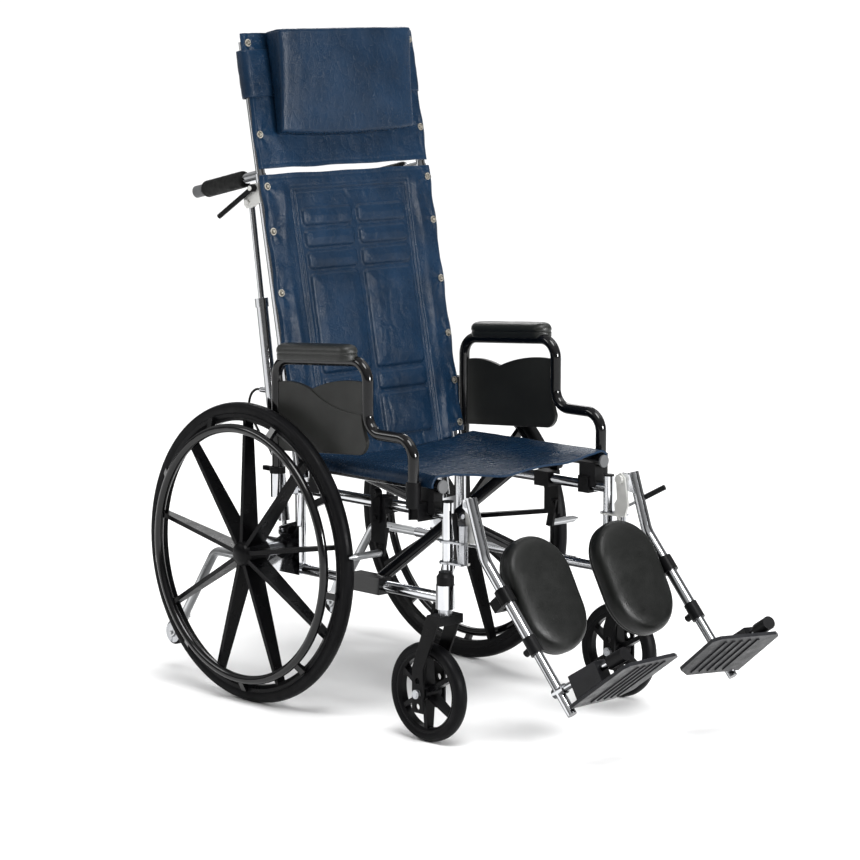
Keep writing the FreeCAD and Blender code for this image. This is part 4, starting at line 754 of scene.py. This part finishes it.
def back_relief(x, u):
    """Height of the quilted back: raised fields, channels between them and a double stitched border."""
    wide = abs(x)
    height = smooth(152.0, 146.0, wide) * smooth(562.0, 552.0, u)
    for low, high in FIELD_ROWS:
        inside = field_depth(wide, u, low, high)
        if inside > 0.0:
            height = max(height, 6.0 * quarter_round(inside, FIELD_ROLL) + 2.4 * smooth(3.0, 30.0, inside))
    for side, top in BORDER_LINES:
        edge = max(wide - side, u - top)
        height += 1.7 * bell(edge + 3.4, 1.9) - 1.5 * bell(edge, 1.6)
    wander = 188.0 + 8.0 * ripple(u, x * 0.02, 90.0, 31.0)
    fold = bell(wide - wander, 9.5) * (0.55 + 0.9 * ripple(u, x * 0.02, 120.0, 33.0))
    height += 5.0 * fold * smooth(585.0, 560.0, u)
    return height


def head_relief(x, u):
    """The head sling is plain, and drawn flat under the pillow and its band."""
    return 2.0 * ripple(x, u * 0.5, 48.0, 35.0) * smooth(700.0, 660.0, u)


def pucker(x, u, screws):
    """Small folds that run out from each screw, and the dent under its head."""
    reach = 60.0
    total = 0.0
    for screw in screws:
        for side in (-1.0, 1.0):
            dx = x - side * CANE_X
            du = u - screw
            distance = math.hypot(dx, du)
            if distance < reach:
                rays = math.cos(math.atan2(du, dx) * 5.0 + screw)
                total += 2.0 * math.exp(-distance / 26.0) * rays * smooth(6.0, 14.0, distance)
                total -= 1.4 * bell(distance, 8.0)
    return total


def sling(name, node, low, high, tube_r, screws, relief, flap=None):
    """Vinyl sheet stretched across the front of both canes; a flap may hang below its middle."""
    step = 2.0
    flap_inner, flap_outer = 191.0, 199.0
    lift_low, lift_high = -2.0, 9.0
    reach = tube_r + SLING_GAP + SLING_DEPTH
    half = CANE_X + SLING_EDGE
    foot = low if flap is None else flap
    columns = int(2 * half / step)
    rows = int((high - foot) / step)
    points = []
    for row in range(rows + 1):
        for column in range(columns + 1):
            x = -half + 2 * half * column / columns
            wide = abs(x)
            base = foot + (low - foot) * smooth(flap_inner, flap_outer, wide)
            u = base + (high - base) * row / rows
            hem = 0.9 * bell(min(u - base, high - u) - 9.0, 1.5)
            lift = relief(x, u) + pucker(x, u, screws) - hem
            lift += 1.6 * ripple(x, u * 0.6, 60.0, 1.0) + 0.6 * ripple(x, u, 21.0, 2.0)
            lift -= 0.8 * crease(x, u * 0.55, 34.0, 21.0)
            lift *= smooth(half - 2.0, CANE_X - 2.0, wide)
            slack = 2.2 * ripple(x, 0.0, 75.0, 5.0 + low)
            edge = smooth(40.0, 0.0, high - u) * slack - smooth(30.0, 0.0, u - base) * slack
            edge *= smooth(CANE_X, CANE_X - 30.0, wide)
            spare = min(abs(u - screw) for screw in screws)
            draw = 3.4 * smooth(8.0, 46.0, spare) * smooth(CANE_X, half, wide)
            curl = 4.5 * smooth(CANE_X + 4.0, half, wide) ** 2
            depth = curl - reach - max(lift_low, min(lift, lift_high))
            points.append(on_back(math.copysign(wide - draw, x), depth, u + edge))
    piece = mesh_piece(name, points, grid_faces(rows + 1, columns + 1), NAVY, node)
    middle = piece.data.polygons[len(piece.data.polygons) // 2]
    thicken(piece, SLING_SKIN, -1.0 if middle.normal.y < 0.0 else 1.0)
    return piece


def seat_sheet():
    """Seat vinyl: sags between the rails, wraps round them and has a wavy front hem."""
    reach = RAIL_R + SLING_GAP + SEAT_DEPTH
    half = RAIL_X + reach * SEAT_WRAP
    flat_from = RAIL_X - 4.0
    columns, rows = 200, 150
    points = []
    for row in range(rows + 1):
        y = SEAT_FRONT + (SEAT_REAR - SEAT_FRONT) * row / rows
        for column in range(columns + 1):
            s = -half + 2 * half * column / columns
            x = max(-RAIL_X, min(RAIL_X, s))
            wide = abs(x)
            hem = 0.9 * bell(min(y - SEAT_FRONT, SEAT_REAR - y) - 14.0, 1.8)
            lift = 1.6 * ripple(x, y, 70.0, 3.0) + 0.7 * ripple(x * 0.6, y, 26.0, 4.0) - hem
            lift -= 0.9 * crease(x * 0.6, y, 40.0, 23.0)
            lift += 1.2 * bell(wide - 188.0, 14.0) - 1.2 * bell(wide - 168.0, 3.0)
            if abs(s) > flat_from:
                lift *= smooth(half, flat_from, abs(s))
            wave = 2.6 * math.sin(x / 33.0) + 3.0 * ripple(x, 0.0, 90.0, 6.0)
            wave *= smooth(46.0, 0.0, y - SEAT_FRONT) * smooth(RAIL_X, RAIL_X - 40.0, wide)
            turn = (abs(s) - RAIL_X) / reach if abs(s) > RAIL_X else 0.0
            radius = reach + min(lift, 2.0) - 0.6
            across = math.copysign(wide + radius * math.sin(turn), s)
            sag = SEAT_SAG * (1.0 - (x / RAIL_X) ** 2)
            points.append(at(across, y, RAIL_Z + radius * math.cos(turn) - sag + wave))
    piece = mesh_piece("seat_sheet", points, grid_faces(rows + 1, columns + 1), NAVY, "seat_sling")
    middle = piece.data.polygons[len(piece.data.polygons) // 2]
    thicken(piece, SEAT_SKIN, -1.0 if middle.normal.z > 0.0 else 1.0)
    return piece


# Head pillow and its band

def pillow():
    """Wedge pillow: crowned front, rounded edges and drawn-in sides."""
    height = PILLOW_HIGH - PILLOW_LOW
    edge_round = 7.0
    levels, count = 54, 144
    rings = []
    for level in range(levels + 1):
        t = level / levels
        rounding = quarter_round(min(t, 1.0 - t) * height, edge_round)
        depth = (PILLOW_THIN + (PILLOW_DEEP - PILLOW_THIN) * t) * (0.62 + 0.38 * rounding)
        width = PILLOW_HALF - 6.0 * (1.0 - rounding) - 3.0 * math.sin(math.pi * t)
        ring = []
        for step in range(count):
            angle = 2.0 * math.pi * step / count
            c, s = math.cos(angle), math.sin(angle)
            px = math.copysign(abs(c) ** 0.24, c)
            pv = math.copysign(abs(s) ** 0.3, s)
            front = smooth(0.2, 0.9, s)
            u = PILLOW_LOW + height * t - 7.0 * (1.0 - px * px) * (1.0 - t) ** 2
            across = px * PILLOW_HALF
            crown = 4.0 * (1.0 - px * px) * math.sin(math.pi * t) * front
            dent = 1.4 * ripple(across, u, 60.0, 8.0) + 0.8 * ripple(across, u * 0.6, 24.0, 9.0)
            dent -= 1.1 * crease(across, u * 0.4, 30.0, 25.0)
            x = px * width + 0.8 * ripple(pv * 20.0, u, 30.0, 15.0) * (1.0 - front)
            v = -PILLOW_BACK - depth / 2.0 - pv * depth / 2.0 - crown - dent * front
            ring.append(on_back(x, v, u + 1.5 * ripple(px * 90.0, pv * 30.0, 40.0, 10.0)))
        rings.append(ring)
    piece = rings_piece("head_pillow_cushion", rings, NAVY, "head_pillow")
    return piece


def pillow_band():
    """Wide vinyl band that holds the pillow round the head sling."""
    inner = PILLOW_BACK + BAND_GAP
    turns, flats, rows = 18, 40, 24
    path = []
    for side in (1.0, -1.0):
        for step in range(turns + 1):
            angle = math.pi * step / turns
            path.append((side * (CANE_X + inner * math.sin(angle)), -side * inner * math.cos(angle)))
        for step in range(1, flats):
            path.append((side * CANE_X * (1.0 - 2.0 * step / flats), side * inner))
    points = []
    for row in range(rows + 1):
        u = BAND_LOW + (BAND_HIGH - BAND_LOW) * row / rows
        for x, v in path:
            puff = 0.7 * ripple(x, u, 18.0, 11.0) + 0.9 * smooth(0.0, 14.0, min(u - BAND_LOW, BAND_HIGH - u))
            past = max(0.0, abs(x) - CANE_X)
            reach = math.hypot(past, v)
            grow = (reach + puff + 0.4) / reach
            bx = math.copysign(min(abs(x), CANE_X) + past * grow, x)
            points.append(on_back(bx, v * grow, u + 1.5 * ripple(x, v, 45.0, 12.0)))
    faces = grid_faces(rows + 1, len(path), wrap=True)
    piece = mesh_piece("head_pillow_band", points, faces, NAVY, "head_pillow")
    thicken(piece, BAND_SKIN, 0.6)
    return piece


# Pads, each with a profile of heights and the inset of the outline there

ARM_PROFILE = ((0.0, 3.0), (0.6, 1.2), (2.0, 0.6), (10.5, 0.4), (12.2, 0.7), (12.8, 1.6), (13.6, 1.6),
               (14.4, 0.6), (16.0, 0.1), (20.0, 0.0), (24.0, 1.2), (27.5, 3.6), (30.2, 7.2), (32.0, 12.0),
               (33.0, 17.0))
CALF_PROFILE = ((0.0, 14.0), (0.4, 6.0), (2.0, 2.6), (5.0, 0.9), (8.0, 0.9), (9.2, 1.7), (10.4, 0.8),
                (14.0, 0.0), (22.0, 0.0), (28.0, 0.6), (33.0, 2.6), (37.0, 6.2), (40.0, 11.5),
                (42.0, 19.0), (43.2, 30.0), (44.0, 48.0))


def arm_pads():
    """Two-step pads on the armrests: a plain base, a groove and a crowned cushion."""
    slope = math.atan((ARM_FRONT_Z - ARM_REAR_Z) / (ARM_REAR_Y - ARM_FRONT_Y))
    height = ARM_REAR_Z + math.tan(slope) * (ARM_REAR_Y - ARM_PAD_Y) + 1.0
    for node, hand in both("armrest_pad"):
        rings = []
        for z, inset in ARM_PROFILE:
            ring = []
            for x, y in obround(ARM_PAD_HALF - inset * 1.15, ARM_PAD_R - inset):
                top = z + 0.5 * ripple(x, y, 30.0, 13.0) * smooth(14.0, 24.0, z)
                py = y * math.cos(slope) + top * math.sin(slope)
                pz = -y * math.sin(slope) + top * math.cos(slope)
                ring.append(at(hand * (ARM_X + x), ARM_PAD_Y + py, height + pz))
            rings.append(ring)
        piece = rings_piece(node + "_cushion", rings, PAD_SKIN, node)
        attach(piece, BODY_OF[node])


def calf_pads():
    """Oval pads with a rolled rim, a seam at the back edge and a crowned front."""
    middle_x, middle_y, middle_z = CALF_PLACE
    for node, hand in both("calf_pad"):
        rings = []
        for z, inset in CALF_PROFILE:
            ring = []
            for x, y in obround(CALF_HALF - inset, CALF_R - inset, 20, 10):
                top = z - CALF_MIDDLE + 0.9 * ripple(x, y, 50.0, 14.0) * smooth(20.0, 36.0, z)
                py = y * math.cos(CALF_TILT) - top * math.sin(CALF_TILT)
                pz = y * math.sin(CALF_TILT) + top * math.cos(CALF_TILT)
                ring.append(at(hand * (middle_x + x), middle_y + py, middle_z + pz))
            rings.append(ring)
        piece = rings_piece(node + "_cushion", rings, BLACK_VINYL, node)
        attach(piece, BODY_OF[node])


def push_grips():
    """Foam grips with rounded ends."""
    edge_round, edge_drop = 7.0, 5.2
    steps, turns = 68, 36
    for node, hand in both("push_grip"):
        rings = []
        for step in range(steps + 1):
            t = step / steps
            d = GRIP_START + GRIP_LENGTH * t
            rounding = quarter_round(min(t, 1.0 - t) * GRIP_LENGTH, edge_round)
            radius = GRIP_R - edge_drop * (1.0 - rounding)
            radius -= 0.25 + 0.25 * ripple(d, 0.0, 9.0, 37.0)
            back = d * math.cos(HANDLE_DROP)
            up = HANDLE_HEIGHT - d * math.sin(HANDLE_DROP)
            ring = []
            for turn in range(turns):
                angle = 2.0 * math.pi * turn / turns
                x = hand * CANE_X + radius * math.cos(angle)
                off = radius * math.sin(angle)
                ring.append(on_back(x, back + off * math.sin(HANDLE_DROP), up + off * math.cos(HANDLE_DROP)))
            rings.append(ring)
        piece = rings_piece(node + "_foam", rings, FOAM, node)
        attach(piece, BODY_OF[node])


# Cables

def rounded_path(corners, steps=8):
    """Smooth line through the middles of a run of corners, from the first to the last."""
    middles = [corners[0]] + [(a + b) / 2 for a, b in zip(corners[1:-2], corners[2:-1])] + [corners[-1]]
    path = [corners[0]]
    for start, corner, end in zip(middles, corners[1:-1], middles[1:]):
        for step in range(1, steps + 1):
            t = step / steps
            path.append(start * (1 - t) ** 2 + corner * (2 * t * (1 - t)) + end * t ** 2)
    return path


def cables():
    """Cable loop from the valve to the lower cylinder, on each side."""
    rod_end = Vector((CYLINDER_FOOT.x, *back_place(ROD_END_BACK, ROD_END_UP)))
    along = (rod_end - CYLINDER_FOOT).normalized()
    valve = CYLINDER_FOOT + along * VALVE_ALONG + Vector((0.0, VALVE_BACK, 0.0))
    clip_back = CYLINDER_R / math.cos(math.asin(along.y)) + CABLE_R
    clip = CYLINDER_FOOT + along * CLIP_ALONG + Vector((0.0, clip_back, 0.0))
    corners = [valve, valve + Vector((0, 8, 0)), valve + Vector((0, 17, -1)), valve + Vector((3, 27, -9)),
               valve + Vector((5, 32, -24)), valve + Vector((6, 34, -44)), clip + Vector((5, 27, 20)),
               clip + Vector((3, 15, 6)), clip + Vector((1, 5, -2)), clip + Vector((0, 0.5, -14))]
    for node, hand in both("release_cable"):
        path = [at(hand * place.x, place.y, place.z) for place in rounded_path(corners)]
        curve = bpy.data.curves.new(node + "_line", "CURVE")
        curve.dimensions = "3D"
        curve.bevel_depth = CABLE_R / 1000.0
        curve.bevel_resolution = 4
        curve.use_fill_caps = True
        spline = curve.splines.new("POLY")
        spline.points.add(len(path) - 1)
        for point, place in zip(spline.points, path):
            point.co = (*place, 1.0)
        piece = add_object(node + "_line", curve)
        curve.materials.append(JACKET)
        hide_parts(node)
        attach(piece, BODY_OF[node])


# Studio: lamps and floor in metres, the camera's place in millimetres as the part's sizes are

GLOW_SPAN = (0.05, 0.6)
GLOW_STRENGTH = (0.12, 0.52)
FLOOR_REACH = 600.0
SUNS = (("key", (-1.1, -1.9, 5.0), 28.0, 2.3),
        ("side", (2.6, -1.0, 4.4), 36.0, 0.5))
PANELS = (("strip", (-2.4, 1.8, 2.2), (0.0, 0.2, 0.7), 1.6, 26.0),
          ("rim", (2.2, 2.4, 2.4), (0.0, 0.2, 0.7), 1.8, 30.0),
          ("front", (0.45, -3.9, 1.4), (0.0, 0.3, 0.8), 1.2, 190.0))
CAMERA_PLACE = (-4277.5, -4667.2, 1469.5)
CAMERA_YAW = math.radians(-43.84)
CAMERA_PITCH = math.radians(8.5)
FOCAL_PIXELS = 3092.4
PICTURE_PIXELS = 860.0
SENSOR_WIDTH = 36.0


def surroundings(scene):
    """White room that is brighter overhead than near the floor."""
    world = bpy.data.worlds.new("studio")
    scene.world = world
    world.use_nodes = True
    tree = world.node_tree
    background = tree.nodes["Background"]
    background.inputs["Color"].default_value = (1.0, 1.0, 1.0, 1.0)
    direction = tree.nodes.new("ShaderNodeTexCoord")
    parts = tree.nodes.new("ShaderNodeSeparateXYZ")
    tree.links.new(direction.outputs["Generated"], parts.inputs["Vector"])
    glow = range_node(tree, parts.outputs["Z"], GLOW_SPAN, GLOW_STRENGTH, soft=True)
    tree.links.new(glow, background.inputs["Strength"])


def pale_floor():
    mesh = bpy.data.meshes.new("floor")
    corners = [(-FLOOR_REACH, -FLOOR_REACH, 0), (FLOOR_REACH, -FLOOR_REACH, 0),
               (FLOOR_REACH, FLOOR_REACH, 0), (-FLOOR_REACH, FLOOR_REACH, 0)]
    mesh.from_pydata(corners, [], [(0, 1, 2, 3)])
    floor = add_object("floor", mesh)
    material, tree, shader, place = new_material("pale_floor")
    share = spread_node(tree, noise_node(tree, place, 0.8, 3.0), 0.0, 1.0)
    colours = mix_node(tree, share, (0.86, 0.86, 0.86), (0.9, 0.9, 0.9))
    tree.links.new(colours, shader.inputs["Base Color"])
    shader.inputs["Roughness"].default_value = 0.9
    shader.inputs["Specular IOR Level"].default_value = 0.1
    mesh.materials.append(material)


def add_lamp(name, light, place, target):
    lamp = add_object(name, light)
    lamp.location = place
    lamp.rotation_euler = (Vector(target) - Vector(place)).to_track_quat("-Z", "Y").to_euler()


def lamps():
    for name, place, angle, power in SUNS:
        light = bpy.data.lights.new(name, "SUN")
        light.angle = math.radians(angle)
        light.energy = power
        add_lamp(name, light, place, (0.0, 0.0, 0.0))
    for name, place, target, size, power in PANELS:
        light = bpy.data.lights.new(name, "AREA")
        light.shape = "RECTANGLE"
        light.size = size
        light.size_y = size * 0.5
        light.energy = power
        add_lamp(name, light, place, target)


def photo_camera(scene):
    """Camera at the place from which the photograph was taken."""
    camera = bpy.data.cameras.new("camera")
    camera.sensor_fit = "HORIZONTAL"
    camera.sensor_width = SENSOR_WIDTH
    camera.lens = SENSOR_WIDTH * FOCAL_PIXELS / PICTURE_PIXELS
    camera.clip_end = 2000.0
    viewer = add_object("camera", camera)
    viewer.location = at(*CAMERA_PLACE)
    viewer.rotation_euler = (math.pi / 2.0 - CAMERA_PITCH, 0.0, CAMERA_YAW)
    scene.camera = viewer


def studio():
    scene = bpy.context.scene
    scene.view_settings.view_transform = "Standard"
    scene.view_settings.look = "None"
    surroundings(scene)
    pale_floor()
    lamps()
    photo_camera(scene)


dress_all()
tyres()
back_piece = sling("back_sling_sheet", "back_sling", BACK_LOW, BACK_HIGH, CANE_R, BACK_SCREWS,
                   back_relief, FLAP_LOW)
head_piece = sling("head_sling_sheet", "head_sling", HEAD_LOW, HEAD_HIGH, HEAD_POST_R, HEAD_SCREWS,
                   head_relief)
seat_piece = seat_sheet()
cushion = pillow()
band = pillow_band()
arm_pads()
calf_pads()
push_grips()
cables()

for soft in (back_piece, head_piece, cushion, band):
    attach(soft, "right_cane")
    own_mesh(soft)
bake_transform(seat_piece)

studio()
